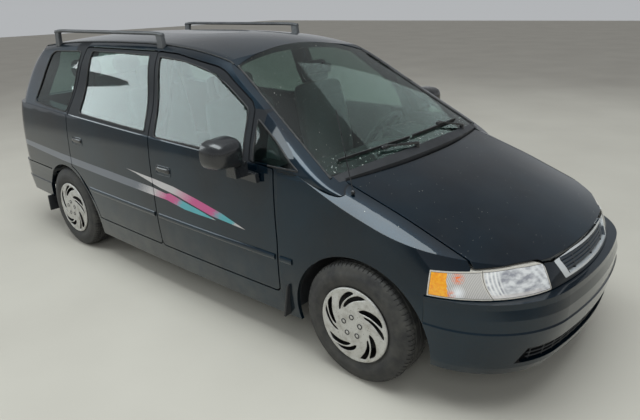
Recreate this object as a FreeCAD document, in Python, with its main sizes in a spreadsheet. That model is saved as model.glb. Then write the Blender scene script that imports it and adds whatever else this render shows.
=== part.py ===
# Five-door minivan with four side-hinged doors, a hood and a tailgate.
# Frame: X forward, Y to the vehicle's left, Z up. Origin on the ground, under the middle of the body.
import math
import os
import time

import FreeCAD
import Part
import Sketcher

clock = time.time()

V = FreeCAD.Vector
os.makedirs("parts", exist_ok=True)
doc = FreeCAD.newDocument("minivan")

# The driving sizes in mm and degrees. Each one is an alias in the sheet.
SIZES = [
    ("body_length", 4750), ("body_width", 1770), ("roof_height", 1646), ("wheelbase", 2830),
    ("front_axle", 1480), ("track_front", 1525), ("track_rear", 1540), ("sill_base", 190),
    ("belt_height", 1032), ("deck_ledge", 40),
    ("tyre_radius", 323), ("tyre_width", 205), ("rim_radius", 190), ("rim_width", 165),
    ("cover_radius", 203), ("hub_radius", 62), ("arch_radius", 398), ("arch_centre", 280),
    ("door_cut_radius", 432), ("wheelhouse_wall", 8),
    ("door_thickness", 60), ("door_skin", 18), ("door_pocket", 76), ("pillar_depth", 100),
    ("shut_gap", 9), ("edge_step", 22),
    ("panel_thickness", 25), ("hood_thickness", 14), ("roof_thickness", 32),
    ("glass_setback", 4), ("glass_thickness", 5),
    ("roof_half", 600), ("hood_half", 700), ("hood_rear", 1400), ("hood_rear_corner", 1316),
    ("cowl_length", 62), ("tailgate_hinge", -1893), ("tailgate_half", 705), ("tailgate_base", 606),
    ("bumper_top", 598), ("bumper_crease", 456), ("bumper_base", 234), ("bumper_wrap", 1842),
    ("rear_wrap", 1620), ("bumper_wall", 30), ("bumper_ledge", 130), ("intake_half", 635),
    ("intake_base", 294), ("intake_height", 80), ("intake_depth", 22), ("rear_base", 335),
    ("front_cut", 960), ("floor_height", 250), ("floor_thickness", 20), ("load_floor", 400),
    ("load_step", -1010),
    ("sill_panel", 2205), ("seat_gap", 0.3), ("hinge_x", 942), ("hinge_low", 420), ("hinge_high", 780),
    ("hinge_depth", 40), ("hinge_width", 40), ("hinge_inset", 48),
    ("firewall", 1175), ("rail_inner", 400), ("rail_width", 55), ("engine_length", 560),
    ("engine_width", 720), ("engine_height", 430), ("engine_base", 265), ("engine_front", 1905),
    ("lamp_inner", 430), ("lamp_top", 722), ("lamp_outer", 1853), ("lamp_depth", 70),
    ("grille_top_half", 372), ("grille_base_half", 318),
    ("grille_top", 722), ("grille_base", 618), ("grille_frame", 22), ("grille_bar", 9),
    ("kingpin_foot", 725), ("kingpin_lean", 12.5), ("ball_radius", 18), ("strut_ball", 34),
    ("shaft_gap", 55), ("strut_radius", 27), ("arm_height", 205), ("arm_half", 24),
    ("seat_width", 520), ("seat_height", 280), ("seat_back", 680), ("cushion", 140),
    ("rack_half", 622), ("rack_front", -180), ("rack_rear", -1640), ("rack_tube", 15),
    ("mirror_reach", 215), ("mirror_height", 172), ("mirror_depth", 130), ("mirror_rear", 715),
    ("wheel_gap", 0.3), ("mast_length", 400), ("mast_radius", 2.5),
    ("cover_crown", 112), ("rim_wall", 8), ("hub_face", 30), ("knuckle_inner", 660),
    ("strut_foot", 430), ("strut_length", 500), ("strut_lean", 7), ("rail_height", 345),
    ("rail_front", 2250), ("tower_height", 890), ("tower_reach", 640), ("radiator", 2110),
    ("cabin_floor", 270), ("bench_half", 560), ("dash_half", 740), ("hand_ring", 185),
    ("column_x", 790), ("column_y", 390), ("column_z", 945), ("column_lean", 62),
]
sheet = doc.addObject("Spreadsheet::Sheet", "dims")
for row, (alias, value) in enumerate(SIZES, 1):
    sheet.set(f"A{row}", alias)
    sheet.set(f"B{row}", str(value))
    sheet.setAlias(f"B{row}", alias)
doc.recompute()
S = {alias: float(sheet.get(alias)) for alias, _ in SIZES}

FRONT = S["body_length"] / 2
HALF = S["body_width"] / 2
REAR_AXLE = S["front_axle"] - S["wheelbase"]
FLOOR_TOP = S["floor_height"] + S["floor_thickness"]
SEAT = S["seat_gap"]
SIDE_BOW = 40000
SIDE_BOW_X = -300
BELT_SLOPE = -0.0225

# Plan sections of the lower body, of the bumpers and of the greenhouse. Columns:
# height, nose back from the front end, nose radius, front corner radius,
# side in from the half width, tail in from the rear end, tail radius, rear corner radius.
BODY = [
    (S["sill_base"], 135, 1900, 440, 40, 150, 4000, 230),
    (330, 62, 1900, 500, 17, 62, 4000, 240),
    (560, 45, 1750, 560, 0, 52, 4000, 240),
    (740, 110, 1500, 610, 1, 55, 3800, 230),
    (900, 200, 1500, 620, 9, 52, 3600, 230),
    (1130, 310, 1500, 620, 42, 68, 3400, 230),
]
BUMPER = [
    (S["bumper_base"], 52, 2150, 460, 32, 45, 4000, 236),
    (S["bumper_base"] + 36, 32, 2190, 480, 24, 26, 4000, 240),
    (S["bumper_crease"], 0, 2270, 520, 3, 0, 4000, 240),
    (S["bumper_crease"] + 8, 6, 2262, 518, 7, 6, 4000, 240),
    (S["bumper_top"] - 74, 5, 2262, 522, 6, 5, 4000, 240),
    (S["bumper_top"] - 28, 15, 2240, 545, 3, 13, 4000, 240),
    (S["bumper_top"], 18, 2200, 550, 0, 16, 4000, 240),
]
GREENHOUSE = [
    (960, 865, 2250, 50, 37, 45, 3400, 235),
    (1180, 1262, 2200, 50, 85, 103, 3200, 210),
    (1400, 1658, 2150, 48, 158, 240, 3000, 185),
    (1520, 1876, 2100, 46, 203, 390, 2800, 160),
    (1580, 1990, 2100, 45, 245, 485, 2600, 140),
    (1640, 2110, 2100, 45, 315, 645, 2400, 120),
]
SCREEN_RAKE = 2.1
# Cross sections of the hood and fender tops. Columns:
# station, centre height, height at the hood seam, height at the outer edge.
BELT = S["belt_height"]
DECK = [
    (880, BELT + 32, BELT + 18, BELT - 20),
    (1180, BELT + 30, BELT + 10, BELT - 82),
    (1400, BELT - 24, BELT - 58, BELT - 214),
    (1640, BELT - 86, BELT - 134, BELT - 297),
    (1880, BELT - 160, BELT - 222, BELT - 380),
    (2100, BELT - 240, BELT - 304, BELT - 462),
    (2420, BELT - 352, BELT - 440, BELT - 620),
]
# Cross sections of the roof: station, drop of the crown below the roof's height.
ROOF = [(1560, 330), (900, 206), (469, 95), (194, 39), (-105, 9), (-600, 0), (-1200, 10), (-1800, 48),
        (-2100, 86), (-2400, 136)]
CROWN_RADIUS = 4300
CROWN_HALF = 560
SHOULDER_HALF = 690
SHOULDER_DROP = 130
ROOF_FOOT = 1000
DECK_SEAM = 690
DECK_EDGE = 915


def toward(centre, point, radius):
    direction = point - centre
    direction.normalize()
    return centre + direction * radius


def corner_centre(end, end_radius, side, side_radius, radius, sign):
    """Centre of the arc that runs tangent from the nose or tail arc to the side arc."""
    near = end_radius - radius
    far = side_radius - radius
    span = side - end
    length = span.Length
    along = (near * near - far * far + length * length) / (2 * length)
    across = math.sqrt(near * near - along * along)
    unit = V(span.x / length, span.y / length, 0)
    normal = V(-unit.y, unit.x, 0)
    options = [end + unit * along + normal * across, end + unit * along - normal * across]
    return max(options, key=lambda point: point.y * 10 + sign * point.x)


def plan_section(height, nose, nose_radius, front_radius, half, tail, tail_radius, rear_radius):
    """Closed plan outline of eight tangent arcs."""
    nose_centre = V(nose - nose_radius, 0, height)
    side_centre = V(SIDE_BOW_X, half - SIDE_BOW, height)
    tail_centre = V(tail + tail_radius, 0, height)
    front = corner_centre(nose_centre, nose_radius, side_centre, SIDE_BOW, front_radius, 1)
    rear = corner_centre(tail_centre, tail_radius, side_centre, SIDE_BOW, rear_radius, -1)
    a = toward(nose_centre, front, nose_radius)
    b = toward(side_centre, front, SIDE_BOW)
    c = toward(side_centre, rear, SIDE_BOW)
    d = toward(tail_centre, rear, tail_radius)

    def flip(point):
        return V(point.x, -point.y, point.z)

    def arc(centre, radius, start, end):
        return Part.Arc(start, toward(centre, (start + end) * 0.5, radius), end)

    edges = [
        Part.Arc(flip(a), V(nose, 0, height), a),
        arc(front, front_radius, a, b),
        arc(side_centre, SIDE_BOW, b, c),
        arc(rear, rear_radius, c, d),
        Part.Arc(d, V(tail, 0, height), flip(d)),
        arc(flip(rear), rear_radius, flip(d), flip(c)),
        arc(flip(side_centre), SIDE_BOW, flip(c), flip(b)),
        arc(flip(front), front_radius, flip(b), flip(a)),
    ]
    return Part.Wire([edge.toShape() for edge in edges])


def plan_loft(table, inset=0, rake=1, reach=0, creased=False):
    """Loft of plan sections, each inset by a wall. Reach lengthens it at the foot."""
    wires = []
    for count, (height, nose, nose_r, front_r, side, tail, tail_r, rear_r) in enumerate(table):
        low = height - reach if count == 0 else height
        wires.append(plan_section(
            low, FRONT - nose - inset * rake, nose_r - inset, max(front_r - inset, 20),
            HALF - side - inset, tail - FRONT + inset, tail_r - inset, max(rear_r - inset, 20)))
    return Part.makeLoft(wires, True, creased)


def tangent_arc(start, angle, end):
    """Arc from start, leaving at an angle in the YZ plane, to end."""
    chord = end - start
    bend = math.atan2(chord.z, chord.y) - angle
    run = chord.Length / (2 * math.cos(bend / 2))
    middle = start + V(0, math.cos(angle + bend / 2), math.sin(angle + bend / 2)) * run
    return middle


def cross_section(station, centre, seam_half, seam, edge_half, edge, foot_half, foot):
    """Closed YZ outline: a crown arc, a shoulder arc tangent to it on each side, and a foot."""
    left = V(station, seam_half, seam)
    out = V(station, edge_half, edge)
    drop = max(centre - seam, 0.5)
    radius = (seam_half ** 2 + drop ** 2) / (2 * drop)
    middle = tangent_arc(left, -math.asin(seam_half / radius), out)

    def flip(point):
        return V(point.x, -point.y, point.z)

    low = V(station, foot_half, foot)
    edges = [
        Part.Arc(flip(left), V(station, 0, centre), left),
        Part.Arc(left, middle, out),
        Part.LineSegment(out, low),
        Part.LineSegment(low, flip(low)),
        Part.LineSegment(flip(low), flip(out)),
        Part.Arc(flip(out), flip(middle), flip(left)),
    ]
    return Part.Wire([edge.toShape() for edge in edges])


def deck_loft(drop=0):
    wires = [cross_section(station, centre - drop, DECK_SEAM, seam - drop, DECK_EDGE, edge - drop,
                           DECK_EDGE, 60)
             for station, centre, seam, edge in DECK]
    return Part.makeLoft(wires, True, False)


def roof_loft(drop=0):
    fall = CROWN_HALF ** 2 / (2 * CROWN_RADIUS)
    wires = []
    for station, sink in ROOF:
        top = S["roof_height"] - sink - drop
        wires.append(cross_section(station, top, CROWN_HALF, top - fall,
                                   SHOULDER_HALF, top - SHOULDER_DROP, ROOF_FOOT, 800))
    return Part.makeLoft(wires, True, False)


def belt_line(x):
    return BELT + BELT_SLOPE * (x - 950)


def above_belt(drop=0):
    """Everything above the belt line, behind the hood's cross sections."""
    x0, x1 = -2600, 900
    y = 1200
    corners = [V(x0, -y, belt_line(x0) - drop), V(x1, -y, belt_line(x1) - drop), V(x1, -y, 1500),
               V(x0, -y, 1500), V(x0, -y, belt_line(x0) - drop)]
    return Part.Face(Part.makePolygon(corners)).extrude(V(0, 2 * y, 0))


def lower(inset=0, drop=0, reach=0):
    above_deck = block(900, 2600, -1200, 1200, 50, 1500).cut(deck_loft(drop))
    return plan_loft(BODY, inset, 1, reach).cut([above_belt(drop), above_deck])


def upper(inset=0, drop=0):
    return plan_loft(GREENHOUSE, inset, SCREEN_RAKE if inset else 1).common(roof_loft(drop))


def envelope(inset=0, drop=0, reach=0):
    return lower(inset, drop, reach).fuse(upper(inset, drop))


# Outlines. Each corner is (across, up, rounding).
def rounded_wire(corners, place):
    """Closed wire through corners, with tangent arcs of the given rounding at each."""
    count = len(corners)
    points = [FreeCAD.Vector(corner[0], corner[1], 0) for corner in corners]
    edges = []
    ends = []
    for index in range(count):
        here = points[index]
        before = (points[index - 1] - here)
        after = (points[(index + 1) % count] - here)
        rounding = corners[index][2] if len(corners[index]) > 2 else 0
        half_angle = before.getAngle(after) / 2
        if rounding > 0 and abs(half_angle - math.pi / 2) > 0.01:
            limit = 0.48 * min(before.Length, after.Length)
            trim = min(rounding / math.tan(half_angle), limit)
            rounding = trim * math.tan(half_angle)
            before.normalize()
            after.normalize()
            start = here + before * trim
            end = here + after * trim
            bisector = before + after
            bisector.normalize()
            middle = here + bisector * (rounding / math.sin(half_angle) - rounding)
            ends.append((start, middle, end))
        else:
            ends.append((here, None, here))
    for index in range(count):
        start, middle, end = ends[index]
        if middle is not None:
            edges.append(Part.Arc(place(start), place(middle), place(end)).toShape())
        following = ends[(index + 1) % count][0]
        if (following - end).Length > 0.01:
            edges.append(Part.LineSegment(place(end), place(following)).toShape())
    return Part.Wire(edges)


def side_prism(corners, inner=560, outer=1100):
    """Solid with an outline drawn in side view, on the left of the body."""
    wire = rounded_wire(corners, lambda point: V(point.x, inner, point.y))
    return Part.Face(wire).extrude(V(0, outer - inner, 0))


def end_prism(corners, start, end):
    """Solid with an outline drawn in end view."""
    wire = rounded_wire(corners, lambda point: V(start, point.x, point.y))
    return Part.Face(wire).extrude(V(end - start, 0, 0))


def plan_prism(wire_edges, low, high):
    wire = Part.Wire([edge.toShape() for edge in wire_edges])
    wire.translate(V(0, 0, low))
    return Part.Face(wire).extrude(V(0, 0, high - low))


def block(x0, x1, y0, y1, z0, z1):
    return Part.makeBox(x1 - x0, y1 - y0, z1 - z0, V(x0, y0, z0))


def across(radius, x, z, y0, y1):
    return Part.makeCylinder(radius, y1 - y0, V(x, y0, z), V(0, 1, 0))


def mirrored(shape):
    return shape.mirror(V(0, 0, 0), V(0, 1, 0))


def only(shape, least=1000):
    """The solids of a result that are pieces, without slivers."""
    solids = [solid for solid in shape.Solids if solid.Volume > least]
    return solids[0] if len(solids) == 1 else Part.makeCompound(solids)


def largest(shape):
    return max(shape.Solids, key=lambda solid: solid.Volume)


def part_feature(label, shape):
    feature = doc.addObject("Part::Feature", label)
    feature.Label = label
    feature.Shape = shape
    return feature


PIECES = []


def piece(label, shape):
    print(label, round(time.time() - clock, 1), flush=True)
    PIECES.append(part_feature(label, shape))


def pair(label, shape):
    """The left piece and its mirror image."""
    piece(label + "_left", shape)
    piece(label + "_right", mirrored(shape))


# Door and window outlines in side view.
CUT = S["front_cut"]
GAP = S["shut_gap"]
SILL = 338
LINE_TOP = 1556
FRONT_DOOR = [(CUT, SILL, 30), (CUT + 12, 640, 400), (CUT - 11, BELT, 12), (772, BELT + 12, 12),
              (712, 1292, 30), (680, 1330, 40), (402, 1484, 400), (-10, LINE_TOP - 10, 400),
              (-205, LINE_TOP, 15), (-139, 1049, 400), (-111, 700, 400), (-108, SILL, 30)]
REAR_DOOR = [(-108 - GAP, SILL, 30), (-111 - GAP, 700, 400), (-139 - GAP, 1049, 400),
             (-205 - GAP, LINE_TOP, 15), (-1100, LINE_TOP, 25), (-1233, 1075, 120),
             (-1222, 758, 60), (-1222, SILL, 10)]
FRONT_GLASS = [(722, BELT + 30, 15), (670, 1296, 25), (381, 1456, 250), (60, 1516, 300),
               (-169, 1529, 20), (-88, BELT + 36, 20)]
REAR_GLASS = [(-201, BELT + 53, 20), (-283, 1534, 20), (-1012, 1534, 25), (-1060, BELT + 78, 25)]
QUARTER_GLASS = [(-1262, BELT + 66, 40), (-1167, 1528, 40), (-1629, 1512, 50), (-1779, 1293, 200),
                 (-1839, BELT + 92, 40)]
CORNER_GLASS = [(1118, BELT + 14, 12), (806, BELT + 18, 12), (762, 1250, 12)]
DOOR_OPENINGS = [
    [(900, 380, 60), (900, 1000, 40), (735, BELT - 5, 20), (676, 1292, 30), (395, 1450, 300),
     (-20, 1522, 200), (-150, 1534, 30), (-60, 900, 200), (-60, 380, 60)],
    [(-190, 380, 60), (-200, 1000, 100), (-278, 1534, 30), (-1085, 1534, 40), (-1180, 1080, 60),
     (-1180, 700, 60), (-900, 380, 60)],
]


def grown(corners, amount):
    """An outline moved outwards by an amount."""
    flat = rounded_wire(corners, lambda point: V(point.x, point.y, 0))
    return flat.makeOffset2D(amount)


def grown_prism(corners, amount, inner=560, outer=1100):
    wire = grown(corners, amount)
    face = Part.Face(wire)
    face.rotate(V(0, 0, 0), V(1, 0, 0), 90)
    face.translate(V(0, outer, 0))
    return face.extrude(V(0, inner - outer, 0))


def screen_edges(front_mid, front_corner, rear_corner, rear_mid, front_half, rear_half):
    """Plan outline with a bowed front and rear edge."""
    return [
        Part.Arc(V(front_corner, -front_half, 0), V(front_mid, 0, 0), V(front_corner, front_half, 0)),
        Part.LineSegment(V(front_corner, front_half, 0), V(rear_corner, rear_half, 0)),
        Part.Arc(V(rear_corner, rear_half, 0), V(rear_mid, 0, 0), V(rear_corner, -rear_half, 0)),
        Part.LineSegment(V(rear_corner, -rear_half, 0), V(front_corner, -front_half, 0)),
    ]


body_low = lower()
body_up = upper()
outer = body_low.fuse(body_up)
within_door = envelope(S["door_thickness"], S["deck_ledge"], 60)
within_pocket = envelope(S["door_pocket"], S["deck_ledge"], 60)
within_skin = envelope(S["door_skin"], S["deck_ledge"] - 20, 60)
within_pillar = envelope(S["pillar_depth"], 60, 60)
left_half = block(-3000, 3000, 0, 1200, 0, 2000)

SCREEN_FOOT = S["hood_rear"] - S["cowl_length"]
WINDSCREEN = (SCREEN_FOOT, S["hood_rear_corner"] - S["cowl_length"] + 8, 453, 372, 762, 587)
screen_cut = plan_prism(screen_edges(*WINDSCREEN), 900, 1750)
roof_cut = block(S["tailgate_hinge"] - 3, 456, -S["roof_half"], S["roof_half"], 1350, 1800)
TAILGATE = [(-S["tailgate_half"], S["tailgate_base"], 30), (-S["tailgate_half"], 1010, 300),
            (-S["roof_half"], 1585, 10), (-S["roof_half"], 1760, 0), (S["roof_half"], 1760, 0),
            (S["roof_half"], 1585, 10), (S["tailgate_half"], 1010, 300),
            (S["tailgate_half"], S["tailgate_base"], 30)]


def wheel_cut(axle, radius, inner, outer=1100):
    return across(radius, axle, S["arch_centre"], inner, outer)


def tail_lamp_space(grow=0):
    inner = S["tailgate_half"] + GAP + 2
    return block(-2600, -2140 + grow, inner - grow, 1200, 630 - grow, 1010 + grow)


hood_half = S["hood_half"]
nose_line = [
    Part.Arc(V(S["hood_rear_corner"], -hood_half, 0), V(S["hood_rear"], 0, 0),
             V(S["hood_rear_corner"], hood_half, 0)),
    Part.LineSegment(V(S["hood_rear_corner"], hood_half, 0), V(2045, hood_half, 0)),
    Part.Arc(V(2045, hood_half, 0), V(2172, 500, 0), V(2226, 372, 0)),
    Part.Arc(V(2226, 372, 0), V(2262, 0, 0), V(2226, -372, 0)),
    Part.Arc(V(2226, -372, 0), V(2172, -500, 0), V(2045, -hood_half, 0)),
    Part.LineSegment(V(2045, -hood_half, 0), V(S["hood_rear_corner"], -hood_half, 0)),
]
hood_prism = plan_prism(nose_line, 500, 1200)
hood_gap = Part.Face(Part.Wire([edge.toShape() for edge in nose_line]).makeOffset2D(GAP))
hood_gap.translate(V(0, 0, 500))
hood_gap = hood_gap.extrude(V(0, 0, 700))
hood_drop = outer.copy()
hood_drop.translate(V(0, 0, -S["hood_thickness"]))
cowl_half = 742
cowl_corner = S["hood_rear_corner"] - 8
screen_corner = WINDSCREEN[1] + 1
cowl_edges = [
    Part.Arc(V(cowl_corner, -cowl_half, 0), V(S["hood_rear"] - 8, 0, 0), V(cowl_corner, cowl_half, 0)),
    Part.LineSegment(V(cowl_corner, cowl_half, 0), V(screen_corner, cowl_half, 0)),
    Part.Arc(V(screen_corner, cowl_half, 0), V(WINDSCREEN[0] + 1, 0, 0), V(screen_corner, -cowl_half, 0)),
    Part.LineSegment(V(screen_corner, -cowl_half, 0), V(cowl_corner, -cowl_half, 0)),
]
cowl_prism = plan_prism(cowl_edges, 900, 1200)


# Side frames: pillars, cant rail, sill and rear quarter in one.
def side_frame():
    frame = outer.common(left_half)
    tools = [
        within_pillar,
        body_low.common(block(CUT + 12 + GAP, 3000, 0, 1200, 0, 1300)),
        screen_cut,
        hood_gap,
        cowl_prism,
        block(1000, 3000, -10, hood_half, 0, 2000),
        block(S["tailgate_hinge"] - 3, 700, 0, S["roof_half"] + 4, 1300, 1800),
        end_prism([(0, S["tailgate_base"] - GAP), (S["tailgate_half"] + GAP, S["tailgate_base"] - GAP, 30),
                   (S["tailgate_half"] + GAP, 1010, 300), (S["roof_half"] + GAP, 1585, 10),
                   (S["roof_half"] + GAP, 1800), (0, 1800)], -2600, S["tailgate_hinge"] - 3),
        block(-2600, -S["rear_wrap"], 0, 1200, 0, S["tailgate_base"]),
        tail_lamp_space(SEAT),
        side_prism(QUARTER_GLASS),
        side_prism(CORNER_GLASS),
        wheel_cut(REAR_AXLE, S["arch_radius"], 400),
    ]
    for outline in DOOR_OPENINGS:
        tools.append(side_prism(outline))
    for outline in (FRONT_DOOR, REAR_DOOR):
        pocket = grown_prism(outline, GAP)
        if outline is REAR_DOOR:
            pocket = pocket.cut(wheel_cut(REAR_AXLE, S["door_cut_radius"] - GAP, 400))
        tools.append(pocket.cut(within_pocket))
    return largest(frame.cut(tools))


def hinge_tip(x):
    """How far out a hinge's fixed leaf reaches, inside the bowed side."""
    return HALF - (x - SIDE_BOW_X) ** 2 / (2 * SIDE_BOW) - S["hinge_inset"]


def hinge_plate(x, height):
    """A hinge's fixed leaf, which reaches from the pillar into the door's notch."""
    half = S["hinge_width"] / 2
    leaf = block(x - half, x + half - 5, HALF - 160, hinge_tip(x), height, height + S["hinge_depth"])
    return leaf.cut(within_pillar)


def hinge_notch(x, height):
    half = S["hinge_width"] / 2
    return block(x - half - 10, x + 60, HALF - 160, hinge_tip(x) + 60,
                 height - SEAT, height + S["hinge_depth"] + SEAT)


HINGE_HEIGHTS = (S["hinge_low"], S["hinge_high"])
REAR_HINGE = -117 - (CUT + 12 - S["hinge_x"])
side = side_frame()
plates = [hinge_plate(x, height) for x in (S["hinge_x"], REAR_HINGE) for height in HINGE_HEIGHTS]
side = only(side.fuse(plates))
pair("side_frame", side)


# Doors: full outer skin, inner wall stepped in from the edges.
def door(outline, glass, step_edge, hinge):
    panel = outer.common(side_prism(outline))
    step = side_prism(step_edge).common(within_skin)
    tools = [within_door, side_prism(glass), step]
    tools += [hinge_notch(hinge, height).common(within_skin) for height in HINGE_HEIGHTS]
    if outline is REAR_DOOR:
        tools.append(wheel_cut(REAR_AXLE, S["door_cut_radius"], 400))
    return largest(panel.cut(tools))


STEP = S["edge_step"]
front_step = [(-108 + STEP, 300), (-111 + STEP, 700), (-139 + STEP, 1049), (-205 + STEP, 1600),
              (-300, 1600), (-300, 300)]
rear_step = [(-1222 + STEP, 300), (-1222 + STEP, 758), (-1233 + STEP, 1075), (-1100 + STEP, 1600),
             (-1400, 1600), (-1400, 300)]
front_door = door(FRONT_DOOR, FRONT_GLASS, front_step, S["hinge_x"])
rear_door = door(REAR_DOOR, REAR_GLASS, rear_step, REAR_HINGE)
pair("door_front", front_door)
pair("door_rear", rear_door)


# Glass: thin panes between two inset greenhouses.
set_in = S["glass_setback"]
glass_shell = plan_loft(GREENHOUSE, set_in, SCREEN_RAKE).cut(
    plan_loft(GREENHOUSE, set_in + S["glass_thickness"], SCREEN_RAKE, 20))
pair("glass_front", only(glass_shell.common(side_prism(FRONT_GLASS, 560))))
pair("glass_rear", only(glass_shell.common(side_prism(REAR_GLASS, 560))))
quarter = only(glass_shell.common(side_prism(QUARTER_GLASS, 560)))
corner = only(glass_shell.common(side_prism(CORNER_GLASS, 560)))
piece("fixed_glass", Part.makeCompound([quarter, corner, mirrored(quarter), mirrored(corner)]))
piece("windscreen", only(glass_shell.common(screen_cut).common(block(300, 1600, -900, 900, 900, 1700))))
TAIL_GLASS = [(-600, 1105, 50), (-530, 1510, 50), (530, 1510, 50), (600, 1105, 50)]
piece("tailgate_glass", only(glass_shell.common(end_prism(TAIL_GLASS, -2500, -1800))))

# Roof panel, tailgate, cowl and hood.
roof = outer.common(roof_cut).cut([upper(0, S["roof_thickness"]), screen_cut])
piece("roof_panel", only(roof))
gate_shape = outer.common(end_prism(TAILGATE, -2600, S["tailgate_hinge"] - 3 - GAP))
piece("tailgate", largest(gate_shape.cut([within_door, end_prism(TAIL_GLASS, -2600, -1800)])))
tail_lamp = outer.common(tail_lamp_space()).cut(within_door)
tail_lamp = largest(tail_lamp)
piece("tail_lamps", Part.makeCompound([tail_lamp, mirrored(tail_lamp)]))


# Lamp outline in end view. Its outer end is swept back round the corner.
def lamp_space(grow=0):
    base = S["bumper_top"] + 4 - grow
    inner = S["lamp_inner"] - grow
    top = S["lamp_top"] + grow
    upright = end_prism([(inner, base, 8), (inner, top, 30), (570, top + 8, 300), (1000, top - 12, 0),
                         (1000, base, 0)], 1500, 2500)
    return upright.common(block(S["lamp_outer"] - grow, 2500, 0, 1000, 500, 900))


hood_corner = lamp_space(GAP)
piece("hood", only(body_low.common(hood_prism).cut([hood_drop, hood_corner, mirrored(hood_corner)])))

cowl_drop = outer.copy()
cowl_drop.translate(V(0, 0, -S["panel_thickness"]))
screen_front = screen_cut.copy()
screen_front.translate(V(SEAT, 0, 0))
hood_back = hood_prism.copy()
hood_back.translate(V(-8, 0, 0))
cowl = outer.common(cowl_prism).cut([cowl_drop, screen_front, hood_back])
piece("cowl", only(cowl))
clip = lower(S["panel_thickness"], S["panel_thickness"], 60)
front_shell = body_low.cut(clip)
fender_tools = [
    block(-2700, CUT + 12 + GAP, -10, 1200, 0, 1500), hood_gap, screen_cut,
    block(S["bumper_wrap"], 2600, 0, 1200, 0, S["bumper_top"] + 4),
    lamp_space(SEAT), wheel_cut(S["front_axle"], S["arch_radius"], 400),
    block(0, 2600, -10, hood_half + GAP, 0, 2000),
    block(2000, 2600, -10, 1200, 0, 2000),
]
fender = only(front_shell.common(left_half).cut(fender_tools).cut([body_up]))
pair("fender", fender)
lamp = only(body_low.cut(lower(S["lamp_depth"], 20, 60)).common(lamp_space()))
piece("headlamps", Part.makeCompound([lamp, mirrored(lamp)]))

GRILLE = [(-S["grille_base_half"], S["grille_base"], 14), (-S["grille_top_half"], S["grille_top"], 14),
          (S["grille_top_half"], S["grille_top"], 14), (S["grille_base_half"], S["grille_base"], 14)]
rim = S["grille_frame"]
GRILLE_MOUTH = [(-S["grille_base_half"] + 2 * rim, S["grille_base"] + rim / 2, 8),
                (-S["grille_top_half"] + 2 * rim, S["grille_top"] - rim / 2, 8),
                (S["grille_top_half"] - 2 * rim, S["grille_top"] - rim / 2, 8),
                (S["grille_base_half"] - 2 * rim, S["grille_base"] + rim / 2, 8)]
nose_half = S["lamp_inner"] - SEAT
nose = front_shell.common(block(1900, 2500, -nose_half, nose_half, S["bumper_top"] + 4, 900))
nose = nose.cut([hood_gap, end_prism(GRILLE, 2000, 2500)])
piece("nose_panel", only(nose))
bezel = front_shell.common(end_prism(GRILLE, 2000, 2500))
bezel = bezel.cut([hood_gap, end_prism(GRILLE_MOUTH, 2000, 2500)])
bars = []
recess = lower(10, 0, 60).cut(lower(24, 0, 60)).common(end_prism(GRILLE_MOUTH, 2000, 2500))
bar_count = 4
pitch = (S["grille_top"] - S["grille_base"] - rim) / (bar_count + 1)
for index in range(bar_count):
    height = S["grille_base"] + rim / 2 + (index + 1) * pitch
    bars.append(block(2000, 2500, -500, 500, height - S["grille_bar"] / 2, height + S["grille_bar"] / 2))
bars += [block(2000, 2500, y - 5, y + 5, 600, 760) for y in (-200, 0, 200)]
slats = recess.common(bars[0].fuse(bars[1:]))
piece("grille", only(bezel.fuse(slats)))

# Bumpers: covers with a closed ledge along the top.
bumper_body = plan_loft(BUMPER, creased=True)
bumper_inner = plan_loft(BUMPER, S["bumper_wall"], 1, 30, True)
ledge_inner = plan_loft(BUMPER, S["bumper_ledge"], 1, 30, True)
bumper_top_zone = block(-3000, 3000, -1200, 1200, S["bumper_top"] - 26, 900)
cover = bumper_body.cut([bumper_inner.cut(bumper_top_zone), ledge_inner])
front_cover = cover.common(block(S["bumper_wrap"] + SEAT, 2600, -1200, 1200, 0, 900))
intake_half = S["intake_half"]
intake_top = S["intake_base"] + S["intake_height"]
intake = end_prism([(-intake_half, S["intake_base"], 25), (-intake_half + 40, intake_top, 45),
                    (intake_half - 40, intake_top, 45), (intake_half, S["intake_base"], 25)], 1900, 2600)
intake = intake.cut(plan_loft(BUMPER, S["intake_depth"], 1, 30, True))
arch_cut = wheel_cut(S["front_axle"], S["arch_radius"], -1100)
front_cover = only(front_cover.cut([intake, arch_cut]))
piece("front_bumper", front_cover)
house_radius = S["arch_radius"] + S["wheelhouse_wall"]
ledge_half = HALF - S["pillar_depth"]
rear_cover = cover.common(block(-2600, -S["rear_wrap"] - SEAT, -1200, 1200,
                                S["rear_base"], S["tailgate_base"] - GAP))
rear_cover = rear_cover.cut([wheel_cut(REAR_AXLE, S["arch_radius"], -1100),
                             wheel_cut(REAR_AXLE, house_radius + SEAT, -ledge_half, ledge_half)])
piece("rear_bumper", only(rear_cover))

# Liners: half rings over the front wheels, and closed houses over the rear ones.
liner_ring = across(S["arch_radius"] + 6, S["front_axle"], S["arch_centre"], 480, 1100).cut(
    across(S["arch_radius"] - 1, S["front_axle"], S["arch_centre"], 470, 1101))
liner_wall = across(S["arch_radius"] + 6, S["front_axle"], S["arch_centre"], 474, 480.5).common(
    block(0, S["firewall"], 0, 1200, 0, 2000))
strut_hole = block(S["front_axle"] - 55, S["front_axle"] + 55, 548, 666, 600, 760)
bumper_side = block(S["bumper_wrap"], 2600, 0, 1200, 0, S["bumper_top"]).cut(
    plan_loft(BUMPER, S["bumper_wall"] + 2, 1, 30, True))
front_liner = largest(liner_ring.fuse(liner_wall).common(clip).cut(
    [block(0, 3000, 0, 1200, 0, FLOOR_TOP), strut_hole, bumper_side]))
rear_inner = S["track_rear"] / 2 - S["tyre_width"] / 2 - 45
house_out = across(house_radius, REAR_AXLE, S["arch_centre"], rear_inner - 8, 1100)
house_in = across(S["arch_radius"], REAR_AXLE, S["arch_centre"], rear_inner, 1101)
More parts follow.
